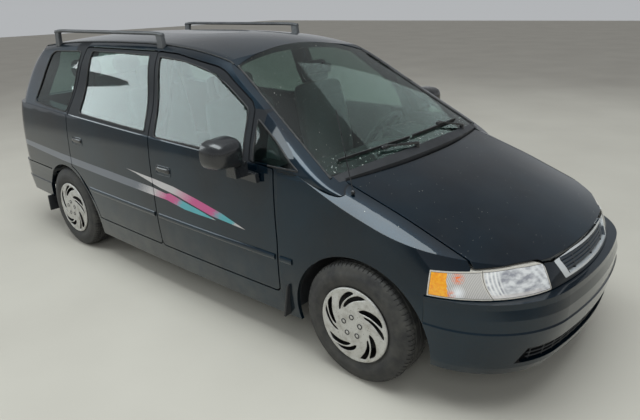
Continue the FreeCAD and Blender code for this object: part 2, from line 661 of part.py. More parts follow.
rear_house = largest(house_out.cut(house_in).common(within_pillar).cut(
    [block(-3000, 0, 0, 1200, 0, S["floor_height"]),
     block(-3000, S["load_step"], 0, 1200, 0, S["load_floor"] - S["floor_thickness"])]))
piece("wheel_liners", Part.makeCompound([front_liner, mirrored(front_liner)]))
slab = S["floor_thickness"]
step_x = S["load_step"]
under = block(step_x, S["firewall"], -1200, 1200, S["floor_height"], FLOOR_TOP).common(within_pillar)
load = block(-S["sill_panel"] - slab, step_x + slab, -1200, 1200, S["load_floor"] - slab, S["load_floor"])
load = load.common(within_pillar)
riser = block(step_x, step_x + slab, -1200, 1200, S["floor_height"], S["load_floor"]).common(within_pillar)
back_panel = block(-S["sill_panel"] - slab, -S["sill_panel"], -1200, 1200, S["floor_height"], 640)
back_panel = back_panel.common(within_pillar)
striker_low, striker_high = 612, 640
striker = block(-2400, -S["sill_panel"], -40, 40, striker_low, striker_high).common(
    envelope(S["door_thickness"] + SEAT, S["deck_ledge"], 60))
wall = block(S["firewall"] - 10, S["firewall"], -1200, 1200, FLOOR_TOP, BELT - 70).common(clip)
floor = under.fuse([load, riser, back_panel, striker, wall])
house_bores = [across(S["arch_radius"] + 0.1, REAR_AXLE, S["arch_centre"], rear_inner, 1100),
               across(S["arch_radius"] + 6 + SEAT, S["front_axle"], S["arch_centre"], 474 - SEAT, 1100)]
floor = floor.cut(house_bores + [mirrored(bore) for bore in house_bores])
floor = floor.fuse([rear_house, mirrored(rear_house)])
piece("floor_pan", only(floor))


# Simple solids whose sizes and places are bound to the sheet.
def bound(kind, name, sizes, base=("0", "0", "0"), turn=None):
    thing = doc.addObject(kind, name)
    for prop, rule in sizes.items():
        thing.setExpression(prop, rule)
    if turn:
        thing.Placement.Rotation = FreeCAD.Rotation(V(*turn[0]), turn[1])
    for letter, rule in zip("xyz", base):
        thing.setExpression(f"Placement.Base.{letter}", rule)
    return thing


def box(name, size, base):
    return bound("Part::Box", name, dict(zip(("Length", "Width", "Height"), size)), base)


def tube_y(name, radius, length, base):
    """A cylinder that runs towards +Y from its base."""
    return bound("Part::Cylinder", name, {"Radius": radius, "Height": length}, base, ((1, 0, 0), -90))


def tube_x(name, radius, length, base):
    return bound("Part::Cylinder", name, {"Radius": radius, "Height": length}, base, ((0, 1, 0), 90))


def tube_z(name, radius, length, base):
    return bound("Part::Cylinder", name, {"Radius": radius, "Height": length}, base)


def joined(label, shapes):
    whole = doc.addObject("Part::MultiFuse", label)
    whole.Label = label
    whole.Shapes = shapes
    whole.Refine = False
    PIECES.append(whole)
    return whole


def group(label, shapes):
    whole = doc.addObject("Part::Compound", label)
    whole.Label = label
    whole.Links = shapes
    PIECES.append(whole)
    return whole


def bound_sketch(body, plane, corners, name):
    """Closed sketch on one of the body's planes, with each corner bound to a rule."""
    sketch = body.newObject("Sketcher::SketchObject", name)
    face = [item for item in body.Origin.OriginFeatures if item.Role == plane][0]
    sketch.AttachmentSupport = (face, [""])
    sketch.MapMode = "FlatFace"
    count = len(corners)
    guess = [V(100 * math.cos(2 * math.pi * k / count), 100 * math.sin(2 * math.pi * k / count), 0)
             for k in range(count)]
    for k in range(count):
        sketch.addGeometry(Part.LineSegment(guess[k], guess[(k + 1) % count]))
    for k in range(count):
        sketch.addConstraint(Sketcher.Constraint("Coincident", k, 2, (k + 1) % count, 1))
    for k, (x, y) in enumerate(corners):
        n = sketch.addConstraint(Sketcher.Constraint("DistanceX", -1, 1, k, 1, guess[k].x))
        sketch.setExpression(f"Constraints[{n}]", x)
        n = sketch.addConstraint(Sketcher.Constraint("DistanceY", -1, 1, k, 1, guess[k].y))
        sketch.setExpression(f"Constraints[{n}]", y)
    return sketch


def revolved(body, sketch, name, axis="V_Axis"):
    turn = body.newObject("PartDesign::Revolution", name)
    turn.Profile = sketch
    turn.ReferenceAxis = (sketch, [axis])
    turn.Angle = 360
    return turn


# Tyre section. Columns: share of the sidewall's height, share of the half width.
TYRE = [(0, 0.86), (1.0, 0.92)]
# Wheel section with its cover. Columns: radius, distance outboard of the wheel's middle.
WHEEL = [("0", "dims.cover_crown"), ("dims.cover_radius * 0.35", "dims.cover_crown - 1"),
         ("dims.cover_radius * 0.7", "dims.cover_crown - 6"),
         ("dims.cover_radius - 12", "dims.cover_crown - 14"),
         ("dims.cover_radius", "dims.cover_crown - 19"), ("dims.cover_radius", "dims.cover_crown - 21"),
         ("dims.rim_radius", "dims.cover_crown - 22"), ("dims.rim_radius", "-dims.rim_width / 2"),
         ("dims.rim_radius - dims.rim_wall", "-dims.rim_width / 2"),
         ("dims.rim_radius - dims.rim_wall", "dims.hub_face"),
         ("0", "dims.hub_face"), ("0", "dims.hub_face + dims.rim_wall"),
         ("dims.rim_radius - 2 * dims.rim_wall", "dims.hub_face + dims.rim_wall"),
         ("dims.rim_radius - 2 * dims.rim_wall", "dims.cover_crown - 24"),
         ("dims.cover_radius * 0.35", "dims.cover_crown - 9"), ("0", "dims.cover_crown - 8")]
WHEELS = [("front_left", "dims.front_axle", "dims.track_front / 2", 1),
          ("front_right", "dims.front_axle", "-dims.track_front / 2", -1),
          ("rear_left", "dims.front_axle - dims.wheelbase", "dims.track_rear / 2", 1),
          ("rear_right", "dims.front_axle - dims.wheelbase", "-dims.track_rear / 2", -1)]


def placed(body, x, y, z, turn):
    if turn < 0:
        body.Placement.Rotation = FreeCAD.Rotation(V(0, 0, 1), 180)
    for letter, rule in (("x", x), ("y", y), ("z", z)):
        body.setExpression(f"Placement.Base.{letter}", rule)
    PIECES.append(body)


def make_wheel(corner_name, x, y, turn):
    tyre = doc.addObject("PartDesign::Body", "tyre_" + corner_name)
    tyre.Label = "tyre_" + corner_name
    bead = "dims.rim_radius + dims.wheel_gap"
    wall = "(dims.tyre_radius - dims.rim_radius - dims.wheel_gap)"
    half = [(f"{bead} + {rise} * {wall}", f"{share} * dims.tyre_width / 2") for rise, share in TYRE]
    other = [(radius, "-" + width) for radius, width in reversed(half)]
    section = bound_sketch(tyre, "XY_Plane", half + other, "section_" + corner_name)
    revolved(tyre, section, "ring_" + corner_name)
    placed(tyre, x, y, "dims.tyre_radius", turn)
    wheel = doc.addObject("PartDesign::Body", "wheel_" + corner_name)
    wheel.Label = "wheel_" + corner_name
    section = bound_sketch(wheel, "XY_Plane", WHEEL, "rim_" + corner_name)
    revolved(wheel, section, "dish_" + corner_name)
    placed(wheel, x, y, "dims.tyre_radius", turn)


for row in WHEELS:
    make_wheel(*row)


# Knuckles with their struts, on an inclined kingpin.
def knuckle(label, sign):
    flank = "dims.track_front / 2 + dims.hub_face - dims.wheel_gap"
    inner = "dims.knuckle_inner"
    start = flank if sign < 0 else inner
    hub = tube_y("hub_" + label, "dims.hub_radius", f"{flank} - {inner}",
                 ("dims.front_axle", f"-({start})" if sign < 0 else inner, "dims.tyre_radius"))
    upright_y = "dims.knuckle_inner - 30" if sign > 0 else "-dims.knuckle_inner - 5"
    upright = box("upright_" + label, ("80", "35", "dims.strut_foot - dims.arm_height"),
                  ("dims.front_axle - 40", upright_y, "dims.arm_height + 40"))
    strut = bound("Part::Cylinder", "strut_" + label,
                  {"Radius": "dims.strut_radius", "Height": "dims.strut_length"},
                  ("dims.front_axle", f"{sign} * (dims.knuckle_inner - 15)", "dims.strut_foot - 60"),
                  ((1, 0, 0), sign * S["strut_lean"]))
    lever = box("lever_" + label, ("140", "22", "24"),
                ("dims.front_axle - 170", f"{sign} * (dims.knuckle_inner - 18) - 11",
                 "dims.tyre_radius - 45"))
    low_ball = "dims.arm_height + 10 + dims.wheel_gap + dims.ball_radius"
    top_ball = "dims.tower_height - dims.seat_gap - dims.strut_ball"
    kingpin = f"{sign} * (dims.kingpin_foot - ({{}} - dims.arm_height) * tan(dims.kingpin_lean * 1 deg))"
    ball = bound("Part::Sphere", "ball_" + label, {"Radius": "dims.ball_radius"},
                 ("dims.front_axle", kingpin.format(low_ball), low_ball))
    stem = tube_z("stem_" + label, "dims.ball_radius - 4", "50",
                  ("dims.front_axle", kingpin.format(low_ball), low_ball))
    mount = bound("Part::Sphere", "mount_" + label, {"Radius": "dims.strut_ball"},
                  ("dims.front_axle", kingpin.format(top_ball), top_ball))
    joined("knuckle_" + label, [hub, upright, strut, lever, ball, stem, mount])


knuckle("left", 1)
knuckle("right", -1)

# Rails, radiator panel and strut towers ahead of the firewall.
frame_bits = []
for name, sign in (("left", 1), ("right", -1)):
    low_y = "dims.rail_inner" if sign > 0 else "-dims.rail_inner - dims.rail_width"
    tower_y = "dims.rail_inner" if sign > 0 else "-dims.tower_reach"
    frame_bits.append(box("rail_" + name, ("dims.rail_front - dims.firewall", "dims.rail_width", "100"),
                          ("dims.firewall", low_y, "dims.rail_height")))
    mount_y = "dims.engine_width / 2 + dims.seat_gap" if sign > 0 else "-dims.rail_inner - 5"
    frame_bits.append(box("engine_mount_" + name,
                          ("90", "dims.rail_inner + 5 - dims.engine_width / 2 - dims.seat_gap", "60"),
                          ("dims.engine_front - 250", mount_y, "dims.rail_height + 20")))
    frame_bits.append(box("tower_wall_" + name, ("200", "8", "dims.tower_height - dims.rail_height + 14"),
                          ("dims.front_axle - 100", low_y, "dims.rail_height")))
    frame_bits.append(box("tower_cap_" + name, ("200", "dims.tower_reach - dims.rail_inner", "14"),
                          ("dims.front_axle - 100", tower_y, "dims.tower_height")))
frame_bits.append(box("radiator_panel", ("30", "2 * dims.rail_inner + 20", "300"),
                      ("dims.radiator", "-dims.rail_inner - 10", "dims.rail_height")))
frame_bits.append(box("beam", ("40", "2 * dims.rail_inner + 2 * dims.rail_width", "90"),
                      ("dims.rail_front - 20", "-dims.rail_inner - dims.rail_width",
                       "dims.rail_height + 5")))
joined("front_frame", frame_bits)

engine = box("block", ("dims.engine_length", "dims.engine_width", "dims.engine_height"),
             ("dims.engine_front - dims.engine_length", "-dims.engine_width / 2", "dims.engine_base"))
shaft_left = tube_y("shaft_left", "16", "dims.knuckle_inner - dims.shaft_gap - dims.engine_width / 2 + 2",
                    ("dims.front_axle", "dims.engine_width / 2 - 2", "dims.tyre_radius"))
shaft_right = tube_y("shaft_right", "16", "dims.knuckle_inner - dims.shaft_gap - dims.engine_width / 2 + 2",
                     ("dims.front_axle", "-dims.knuckle_inner + dims.shaft_gap", "dims.tyre_radius"))
joined("engine", [engine, shaft_left, shaft_right])

subframe = [
    box("cross_front", ("70", "900", "45"), ("dims.front_axle + 200", "-450", "dims.arm_height")),
    box("cross_rear", ("90", "900", "45"), ("dims.front_axle - 230", "-450", "dims.arm_height")),
]
for name, sign in (("left", 1), ("right", -1)):
    low_y = "380" if sign > 0 else "-450"
    subframe.append(box("keel_" + name, ("500", "70", "45"),
                        ("dims.front_axle - 230", low_y, "dims.arm_height")))
    arm_y = "400" if sign > 0 else "-dims.kingpin_foot - 12"
    subframe.append(box("arm_" + name, ("2 * dims.arm_half", "dims.kingpin_foot - 388", "22"),
                        ("dims.front_axle - dims.arm_half", arm_y, "dims.arm_height - 12")))
    subframe.append(box("mount_" + name, ("60", "60", "dims.rail_height - dims.arm_height"),
                        ("dims.front_axle - 230",
                         "dims.rail_inner - 5" if sign > 0 else "-dims.rail_inner - 55",
                         "dims.arm_height")))
joined("front_subframe", subframe)

rear_x = "dims.front_axle - dims.wheelbase"
spindle = "dims.track_rear / 2 + dims.hub_face - dims.wheel_gap"
axle_bits = [tube_y("beam_tube", "32", f"2 * ({spindle})", (rear_x, f"-({spindle})", "dims.tyre_radius"))]
for name, sign in (("left", 1), ("right", -1)):
    axle_bits.append(box("link_" + name, ("dims.load_step - 40 - (" + rear_x + ")", "50", "50"),
                         (rear_x, "500" if sign > 0 else "-550", "dims.tyre_radius - 80")))
    rise = "dims.load_floor - dims.floor_thickness - dims.tyre_radius + 80"
    axle_bits.append(box("link_mount_" + name, ("60", "50", rise),
                         ("dims.load_step - 70", "500" if sign > 0 else "-550", "dims.tyre_radius - 80")))
joined("rear_axle", axle_bits)

pipe = tube_x("pipe", "26", "3230", ("-2000", "-240", "dims.arm_height + 5"))
muffler = tube_x("muffler", "62", "430", ("-2260", "-240", "dims.arm_height - 18"))
hanger = box("hanger_front", ("40", "30", "60"), ("300", "-255", "dims.floor_height - 60"))
hanger_rear = box("hanger_rear", ("40", "30", "dims.load_floor - dims.floor_thickness - dims.arm_height"),
                  ("-1980", "-255", "dims.arm_height"))
joined("exhaust", [pipe, muffler, hanger, hanger_rear])
tank = box("tank", ("780", "560", "70"), ("-760", "20", "dims.floor_height - 70"))
neck = box("tank_neck", ("60", "160", "40"), ("-740", "560", "dims.floor_height - 40"))
joined("fuel_tank", [tank, neck])


# Cabin: dashboard, steering wheel and seats.
def seat(name, x, y_low, width, ground="dims.cabin_floor", rise="dims.seat_height"):
    """One seat from a side profile: plinth, cushion, backrest and headrest."""
    body = doc.addObject("PartDesign::Body", name)
    base = f"{ground} + {rise}"
    top = f"{base} + dims.cushion"
    back = "dims.seat_back"
    corners = [
        (f"{x} - 40", ground), (f"{x} + 330", ground), (f"{x} + 330", base),
        (f"{x} + 470", f"{base} + 10"), (f"{x} + 500", f"{top} - 30"), (f"{x} + 460", f"{top} + 5"),
        (f"{x} + 60", top), (f"{x} - 90", f"{top} + {back} - 90"), (f"{x} - 100", f"{top} + {back} + 70"),
        (f"{x} - 190", f"{top} + {back} + 60"), (f"{x} - 190", f"{top} + {back} - 90"),
        (f"{x} - 95", f"{base} + 10"), (f"{x} - 40", base),
    ]
    sketch = bound_sketch(body, "XZ_Plane", corners, name + "_profile")
    pad = body.newObject("PartDesign::Pad", name + "_pad")
    pad.Profile = sketch
    pad.setExpression("Length", width)
    pad.Reversed = True
    body.setExpression("Placement.Base.y", y_low)
    return body


group("front_seats", [seat("seat_driver", "320", "140", "dims.seat_width"),
                      seat("seat_passenger", "320", "-140 - dims.seat_width", "dims.seat_width")])
group("middle_seats", [seat("seat_middle_left", "-620", "100", "dims.seat_width"),
                       seat("seat_middle_right", "-620", "-100 - dims.seat_width", "dims.seat_width")])
bench = seat("bench_body", "-1560", "-dims.bench_half", "2 * dims.bench_half", "dims.load_floor",
             "dims.seat_height - dims.load_floor + dims.cabin_floor")
group("rear_bench", [bench])
dash_body = doc.addObject("PartDesign::Body", "dash_body")
dash_corners = [
    ("dims.firewall - 10 - dims.seat_gap", "600"),
    ("dims.firewall - 10 - dims.seat_gap", "dims.belt_height - 75"),
    ("1080", "dims.belt_height - 45"), ("930", "dims.belt_height - 52"),
    ("880", "dims.belt_height - 100"), ("900", "760"), ("960", "640"), ("1060", "600"),
]
dash_sketch = bound_sketch(dash_body, "XZ_Plane", dash_corners, "dash_profile")
dash_pad = dash_body.newObject("PartDesign::Pad", "dash_pad")
dash_pad.Profile = dash_sketch
dash_pad.setExpression("Length", "2 * dims.dash_half")
dash_pad.Midplane = True
column = bound("Part::Cylinder", "column", {"Radius": "34", "Height": "190"},
               ("dims.column_x + dims.wheel_gap * sin(dims.column_lean * 1 deg)", "dims.column_y",
                "dims.column_z - dims.wheel_gap * cos(dims.column_lean * 1 deg)"),
               ((0, 1, 0), 180 - S["column_lean"]))
joined("dashboard", [dash_body, column])
wheel_lean = S["column_lean"]
ring = bound("Part::Torus", "wheel_ring", {"Radius1": "dims.hand_ring", "Radius2": "14"},
             ("dims.column_x", "dims.column_y", "dims.column_z"), ((0, 1, 0), -wheel_lean))
boss = bound("Part::Cylinder", "wheel_boss", {"Radius": "60", "Height": "30"},
             ("dims.column_x", "dims.column_y", "dims.column_z"), ((0, 1, 0), -wheel_lean))
spoke = bound("Part::Cylinder", "wheel_spoke", {"Radius": "10", "Height": "2 * dims.hand_ring"},
              ("dims.column_x - 15 * sin(dims.column_lean * 1 deg)", "dims.column_y - dims.hand_ring",
               "dims.column_z + 15 * cos(dims.column_lean * 1 deg)"), ((1, 0, 0), -90))
joined("steering_wheel", [ring, boss, spoke])

# Roof rails: a tube each side on two feet that follow the roof.
rail_feet = []
for x in (S["rack_rear"], S["rack_front"] - 90):
    foot = block(x, x + 90, S["rack_half"] - 20, S["rack_half"] + 20, 1500, S["roof_height"] + 22)
    rail_feet.append(largest(foot.cut(outer)))
rail_tube = Part.makeCylinder(S["rack_tube"], S["rack_front"] - S["rack_rear"],
                              V(S["rack_rear"], S["rack_half"], S["roof_height"] + 20), V(1, 0, 0))
rail = rail_tube.fuse(rail_feet)
piece("roof_rails", Part.makeCompound([rail.Solids[0], mirrored(rail.Solids[0])]))

# Mirrors on the doors, with a foot that follows the door.
mirror_x = S["mirror_rear"]
mirror_y = HALF + 20
housing = block(mirror_x, mirror_x + S["mirror_depth"], mirror_y, mirror_y + S["mirror_reach"],
                BELT + 2, BELT + 2 + S["mirror_height"])
housing = housing.makeFillet(28, housing.Edges)
mirror_foot = block(mirror_x + 15, mirror_x + 155, 780, mirror_y + 60, BELT - 77, BELT - 22).cut(outer)
mirror_neck = block(mirror_x + 50, mirror_x + 120, mirror_y - 10, mirror_y + 58, BELT - 30, BELT + 40)
mirror = housing.fuse([largest(mirror_foot), mirror_neck])
pair("mirror", mirror.Solids[0])

# Mast of the aerial on the right fender.
def top_at(x, y):
    """Height of the body's surface."""
    line = outer.common(Part.makeLine(V(x, y, 700), V(x, y, 1700)))
    return V(x, y, max(vertex.Z for vertex in line.Vertexes))


MAST = (1396, -750)
MAST_LEAN = V(-0.34, 0.12, 0.93)
mast_at = top_at(*MAST)
fore = top_at(MAST[0] + 10, MAST[1]) - mast_at
side_way = top_at(MAST[0], MAST[1] + 10) - mast_at
normal = fore.cross(side_way)
normal.normalize()
foot_height = 12
foot_radius = 8
ball_at = mast_at + normal * foot_height
foot = Part.makeCylinder(foot_radius, foot_height, mast_at + normal * 0.2, normal)
ball = Part.makeSphere(foot_radius + 3, ball_at)
rod = Part.makeCylinder(S["mast_radius"], S["mast_length"], ball_at, MAST_LEAN)
mast = foot.fuse([ball, rod])
piece("aerial", largest(mast))

doc.recompute()
for obj in doc.Objects:
    if "Invalid" in obj.State or "Error" in obj.State:
        raise RuntimeError(f"{obj.Label} did not compute: {obj.State}")
for obj in PIECES:
    shape = obj.Shape
    if shape.isNull() or not shape.isValid():
        raise RuntimeError(f"{obj.Label} has no valid shape")
for obj in PIECES:
    print(obj.Label, len(obj.Shape.Solids), round(obj.Shape.Volume / 1e6, 2))
    obj.Shape.exportStep(f"parts/{obj.Label}.step")
print("seconds", round(time.time() - clock, 1))
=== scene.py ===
"""Looks of a dark green minivan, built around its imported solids."""

import math

import bmesh
import bpy
from mathutils import Matrix, Vector
from mathutils.bvhtree import BVHTree


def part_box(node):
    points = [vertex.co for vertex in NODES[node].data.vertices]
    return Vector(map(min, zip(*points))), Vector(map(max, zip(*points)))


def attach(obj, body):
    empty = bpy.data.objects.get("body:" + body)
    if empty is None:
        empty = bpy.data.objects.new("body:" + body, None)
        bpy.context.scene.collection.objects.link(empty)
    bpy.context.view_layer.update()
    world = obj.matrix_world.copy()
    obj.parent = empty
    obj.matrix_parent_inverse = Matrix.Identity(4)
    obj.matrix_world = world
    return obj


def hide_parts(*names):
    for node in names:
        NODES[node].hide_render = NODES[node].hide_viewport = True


bl_info = {
    "name": "Green Minivan",
    "version": (1, 0, 0),
    "blender": (4, 5, 0),
    "location": "3D View > Sidebar > Minivan",
    "description": "Paint, glass, tyres, covers, seats, lamps and trim for the minivan's solids",
    "category": "Object",
}

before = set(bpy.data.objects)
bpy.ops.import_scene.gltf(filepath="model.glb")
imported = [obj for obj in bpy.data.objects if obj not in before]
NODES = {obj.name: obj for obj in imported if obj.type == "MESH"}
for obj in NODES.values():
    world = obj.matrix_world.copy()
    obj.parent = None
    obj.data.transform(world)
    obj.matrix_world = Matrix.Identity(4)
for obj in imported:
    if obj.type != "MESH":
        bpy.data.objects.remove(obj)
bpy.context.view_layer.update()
SIDES = (("left", 1), ("right", -1))
CORNERS = ("front_left", "front_right", "rear_left", "rear_right")


# Settings that a user would change

class MinivanColours(bpy.types.PropertyGroup):
    """Colours of the finishes."""

    paint: bpy.props.FloatVectorProperty(
        name="Paint", description="Body paint under the clear coat", subtype="COLOR",
        size=4, default=(0.0015, 0.014, 0.026, 1.0))
    paint_shade: bpy.props.FloatVectorProperty(
        name="Paint shade", description="Darker patches of the body paint", subtype="COLOR",
        size=4, default=(0.001, 0.006, 0.012, 1.0))
    silver: bpy.props.FloatVectorProperty(
        name="Covers", description="Silver paint of the wheel covers", subtype="COLOR",
        size=4, default=(0.55, 0.54, 0.51, 1.0))
    trim: bpy.props.FloatVectorProperty(
        name="Trim", description="Black plastic and rubber", subtype="COLOR",
        size=4, default=(0.016, 0.017, 0.019, 1.0))
    cloth: bpy.props.FloatVectorProperty(
        name="Seat cloth", description="Woven cloth of the seats", subtype="COLOR",
        size=4, default=(0.105, 0.125, 0.125, 1.0))
    band: bpy.props.FloatVectorProperty(
        name="Side band", description="Silver band along the sides", subtype="COLOR",
        size=4, default=(0.16, 0.18, 0.22, 1.0))


class MinivanSizes(bpy.types.PropertyGroup):
    """Sizes of the added pieces."""

    tread_depth: bpy.props.FloatProperty(
        name="Tread depth", description="Depth of the tyre's grooves", default=0.006, unit="LENGTH")
    cover_swirl: bpy.props.FloatProperty(
        name="Cover swirl", description="Turn of the cover's ribs from hub to rim",
        default=math.radians(56), unit="ROTATION")
    cover_wall: bpy.props.FloatProperty(
        name="Cover wall", description="Thickness of the wheel cover", default=0.003, unit="LENGTH")
    seal_radius: bpy.props.FloatProperty(
        name="Seal radius", description="Half the width of the rubber round the windows",
        default=0.005, unit="LENGTH")
    speck_radius: bpy.props.FloatProperty(
        name="Petal radius", description="Size of the fallen petals", default=0.005, unit="LENGTH")


# Shader graphs

def opaque(colour, strength=1.0):
    """A colour made stronger or weaker, with full alpha."""
    return tuple(part * strength for part in colour[:3]) + (1.0,)


def fill_ramp(elements, stops):
    """Give a colour ramp its (place, colour) stops, from place 0 to place 1."""
    elements[0].color = opaque(stops[0][1])
    elements[1].color = opaque(stops[-1][1])
    for place, colour in stops[1:-1]:
        elements.new(place).color = opaque(colour)


class Finish:
    """A material being built. Each call adds a node and returns the socket it gives."""

    def __init__(self, name):
        self.material = bpy.data.materials.new(name)
        self.material.use_nodes = True
        self.tree = self.material.node_tree
        self.tree.nodes.clear()
        output = self.tree.nodes.new("ShaderNodeOutputMaterial")
        self.shader = self.tree.nodes.new("ShaderNodeBsdfPrincipled")
        self.tree.links.new(self.shader.outputs[0], output.inputs[0])
        self.place = self.tree.nodes.new("ShaderNodeTexCoord").outputs["Object"]
        split = self.tree.nodes.new("ShaderNodeSeparateXYZ")
        self.tree.links.new(self.place, split.inputs[0])
        self.x, self.y, self.z = split.outputs

    def feed(self, socket, value):
        if isinstance(value, bpy.types.NodeSocket):
            self.tree.links.new(value, socket)
        elif socket.type == "RGBA":
            socket.default_value = opaque(value)
        else:
            socket.default_value = value

    def set(self, **values):
        """Values of the shader, named with underscores for spaces."""
        for key, value in values.items():
            self.feed(self.shader.inputs[key.replace("_", " ")], value)
        return self

    def node(self, kind, values, out=0, **settings):
        made = self.tree.nodes.new(kind)
        for key, value in settings.items():
            setattr(made, key, value)
        for key, value in values.items():
            self.feed(made.inputs[key], value)
        return made.outputs[out]

    def math(self, operation, a, b=0.0, clamp=False):
        return self.node("ShaderNodeMath", {0: a, 1: b}, operation=operation, use_clamp=clamp)

    def times(self, first, *others):
        for other in others:
            first = self.math("MULTIPLY", first, other)
        return first

    def plus(self, a, b):
        return self.math("ADD", a, b)

    def minus(self, a, b):
        return self.math("SUBTRACT", a, b)

    def most(self, a, b, clamp=False):
        return self.math("MAXIMUM", a, b, clamp)

    def least(self, a, b):
        return self.math("MINIMUM", a, b)

    def unsigned(self, value):
        return self.math("ABSOLUTE", value)

    def below(self, a, b):
        return self.math("LESS_THAN", a, b)

    def above(self, a, b):
        return self.math("GREATER_THAN", a, b)

    def span(self, value, low, high, start=0.0, end=1.0):
        """Value rescaled from low..high to start..end, and clamped."""
        return self.node("ShaderNodeMapRange", {
            "Value": value, "From Min": low, "From Max": high, "To Min": start, "To Max": end})

    def fade(self, share, start, end):
        """From start to end as the share goes from zero to one."""
        return self.span(share, 0.0, 1.0, start, end)

    def step(self, value, edge, blur=0.0006):
        """One where value is above edge, with a soft edge."""
        return self.span(self.minus(value, edge), -blur, blur)

    def between(self, low, value, high):
        """One where value lies between low and high, with soft edges."""
        return self.times(self.step(value, low), self.step(high, value))

    def mix(self, factor, a, b):
        return self.node("ShaderNodeMix", {0: factor, 6: a, 7: b}, out=2, data_type="RGBA")

    def scaled(self, factors):
        return self.node("ShaderNodeMapping", {"Vector": self.place, "Scale": factors})

    def noise(self, scale, detail=2.0, rough=0.5, place=None):
        return self.node("ShaderNodeTexNoise", {
            "Vector": place or self.place, "Scale": scale, "Detail": detail, "Roughness": rough})

    def spots(self, scale, detail, low, high, start=0.0, end=1.0):
        """Noise rescaled from low..high to start..end."""
        return self.span(self.noise(scale, detail), low, high, start, end)

    def cells(self, scale, out=0, place=None):
        return self.node("ShaderNodeTexVoronoi", {"Vector": place or self.place, "Scale": scale}, out=out)

    def part(self, vector, axis):
        """One of a vector's three parts."""
        return self.node("ShaderNodeSeparateXYZ", {0: vector}, out=axis)

    def facing(self, axis):
        """One part of the direction that the surface faces."""
        return self.part(self.node("ShaderNodeNewGeometry", {}, out=1), axis)

    def along(self, value, points):
        """A value read from a polyline of (input, output) points."""
        lows = [min(point[axis] for point in points) for axis in (0, 1)]
        highs = [max(point[axis] for point in points) for axis in (0, 1)]
        made = self.tree.nodes.new("ShaderNodeFloatCurve")
        curve = made.mapping.curves[0]
        for count, (start, end) in enumerate(points):
            place = ((start - lows[0]) / (highs[0] - lows[0]), (end - lows[1]) / (highs[1] - lows[1]))
            point = curve.points[count] if count < 2 else curve.points.new(*place)
            point.location = place
        for point in curve.points:
            point.handle_type = "VECTOR"
        made.mapping.update()
        self.feed(made.inputs["Value"], self.span(value, lows[0], highs[0]))
        return self.fade(made.outputs[0], lows[1], highs[1])

    def ramp(self, value, stops):
        made = self.tree.nodes.new("ShaderNodeValToRGB")
        fill_ramp(made.color_ramp.elements, stops)
        self.feed(made.inputs[0], value)
        return made.outputs[0]

    def bump(self, height, strength, distance, edge=0.0):
        """Bump over a bevelled normal."""
        values = {"Height": height, "Strength": strength, "Distance": distance}
        if edge:
            values["Normal"] = self.node("ShaderNodeBevel", {"Radius": edge}, samples=4)
        return self.node("ShaderNodeBump", values)


MATERIALS = {}


def finish(name):
    """The material of that name, made by its function the first time."""
    if name not in MATERIALS:
        MATERIALS[name] = FINISHES[name](bpy.context.scene.minivan_colours, name).material
    return MATERIALS[name]


# Belt line under the windows, as its (x, height) at the front and its slope.
BELT_FRONT = (0.950, 1.032)
BELT_SLOPE = -0.0225
BELT_LIFT = 0.006

# Side stripes as (x, height) points. The band runs from behind to the fin, and the blade lies over both.
BAND_REAR = -2.10
BAND_FRONT = 0.02
BAND_TOP = [(BAND_REAR, 0.787), (-1.381, 0.767), (-0.644, 0.753), (-0.128, 0.737), (BAND_FRONT, 0.722)]
BAND_BASE = [(BAND_REAR, 0.745), (-1.400, 0.714), (-0.659, 0.696), (-0.125, 0.684), (BAND_FRONT, 0.681)]
BLADE_REAR = -0.423
BLADE_FRONT = 0.735
BLADE_TOP = [(BLADE_REAR, 0.814), (-0.089, 0.797), (0.096, 0.784), (0.315, 0.750), (0.539, 0.708),
             (BLADE_FRONT, 0.652)]
BLADE_BASE = [(BLADE_REAR, 0.814), (-0.317, 0.801), (-0.043, 0.750), (0.138, 0.730), (0.306, 0.697),
              (0.444, 0.672), (BLADE_FRONT, 0.652)]
FIN_FRONT = 0.488
FIN_TOP = [(BAND_FRONT, 0.722), (0.060, 0.731), (0.210, 0.704), (0.352, 0.680), (FIN_FRONT, 0.653)]
FIN_BASE = [(BAND_FRONT, 0.681), (0.202, 0.656), (0.348, 0.652), (FIN_FRONT, 0.652)]
STRIPES_FROM = 0.80
WHITE = (0.62, 0.60, 0.62)
PINK = (0.62, 0.10, 0.30)
TEAL = (0.10, 0.45, 0.52)

PETAL = (0.62, 0.60, 0.52)
PETAL_ON_GLASS = (0.75, 0.74, 0.68)
# Scale of the cells, share of them that hold a petal, and the petal's relative size.
PETAL_SIZES = ((7.0, 0.22, 1.3), (19.0, 0.22, 0.8), (47.0, 0.16, 0.45))
METALLIC_PAINT = 0.55
PANEL_EDGE = 0.006
PART_EDGE = 0.004


def facing_up(f):
    return f.span(f.facing(2), 0.35, 0.8)


def petal_mask(f, amount):
    """One on fallen petals, which lie on what faces up."""
    radius = bpy.context.scene.minivan_sizes.speck_radius
    mask = None
    for scale, share, size in PETAL_SIZES:
        shape = f.node("ShaderNodeMapping", {
            "Vector": f.place, "Scale": (1.0, 1.7, 1.0), "Rotation": (0.0, 0.0, scale)})
        near = f.cells(scale, place=shape)
        kept = f.part(f.cells(scale, out=1, place=shape), 0)
        there = f.below(near, radius * size * scale * 0.62)
        one = f.times(there, f.below(kept, share * amount))
        mask = one if mask is None else f.most(mask, one)
    return f.times(mask, facing_up(f))


def petals(f, colour, amount=1.0):
    """Petals and a little dust over a colour."""
    dust = f.times(f.spots(2.3, 5.0, 0.45, 0.8, 0.0, 0.04), facing_up(f))
    dusty = f.mix(dust, colour, (0.30, 0.30, 0.27))
    return f.mix(petal_mask(f, amount), dusty, PETAL)


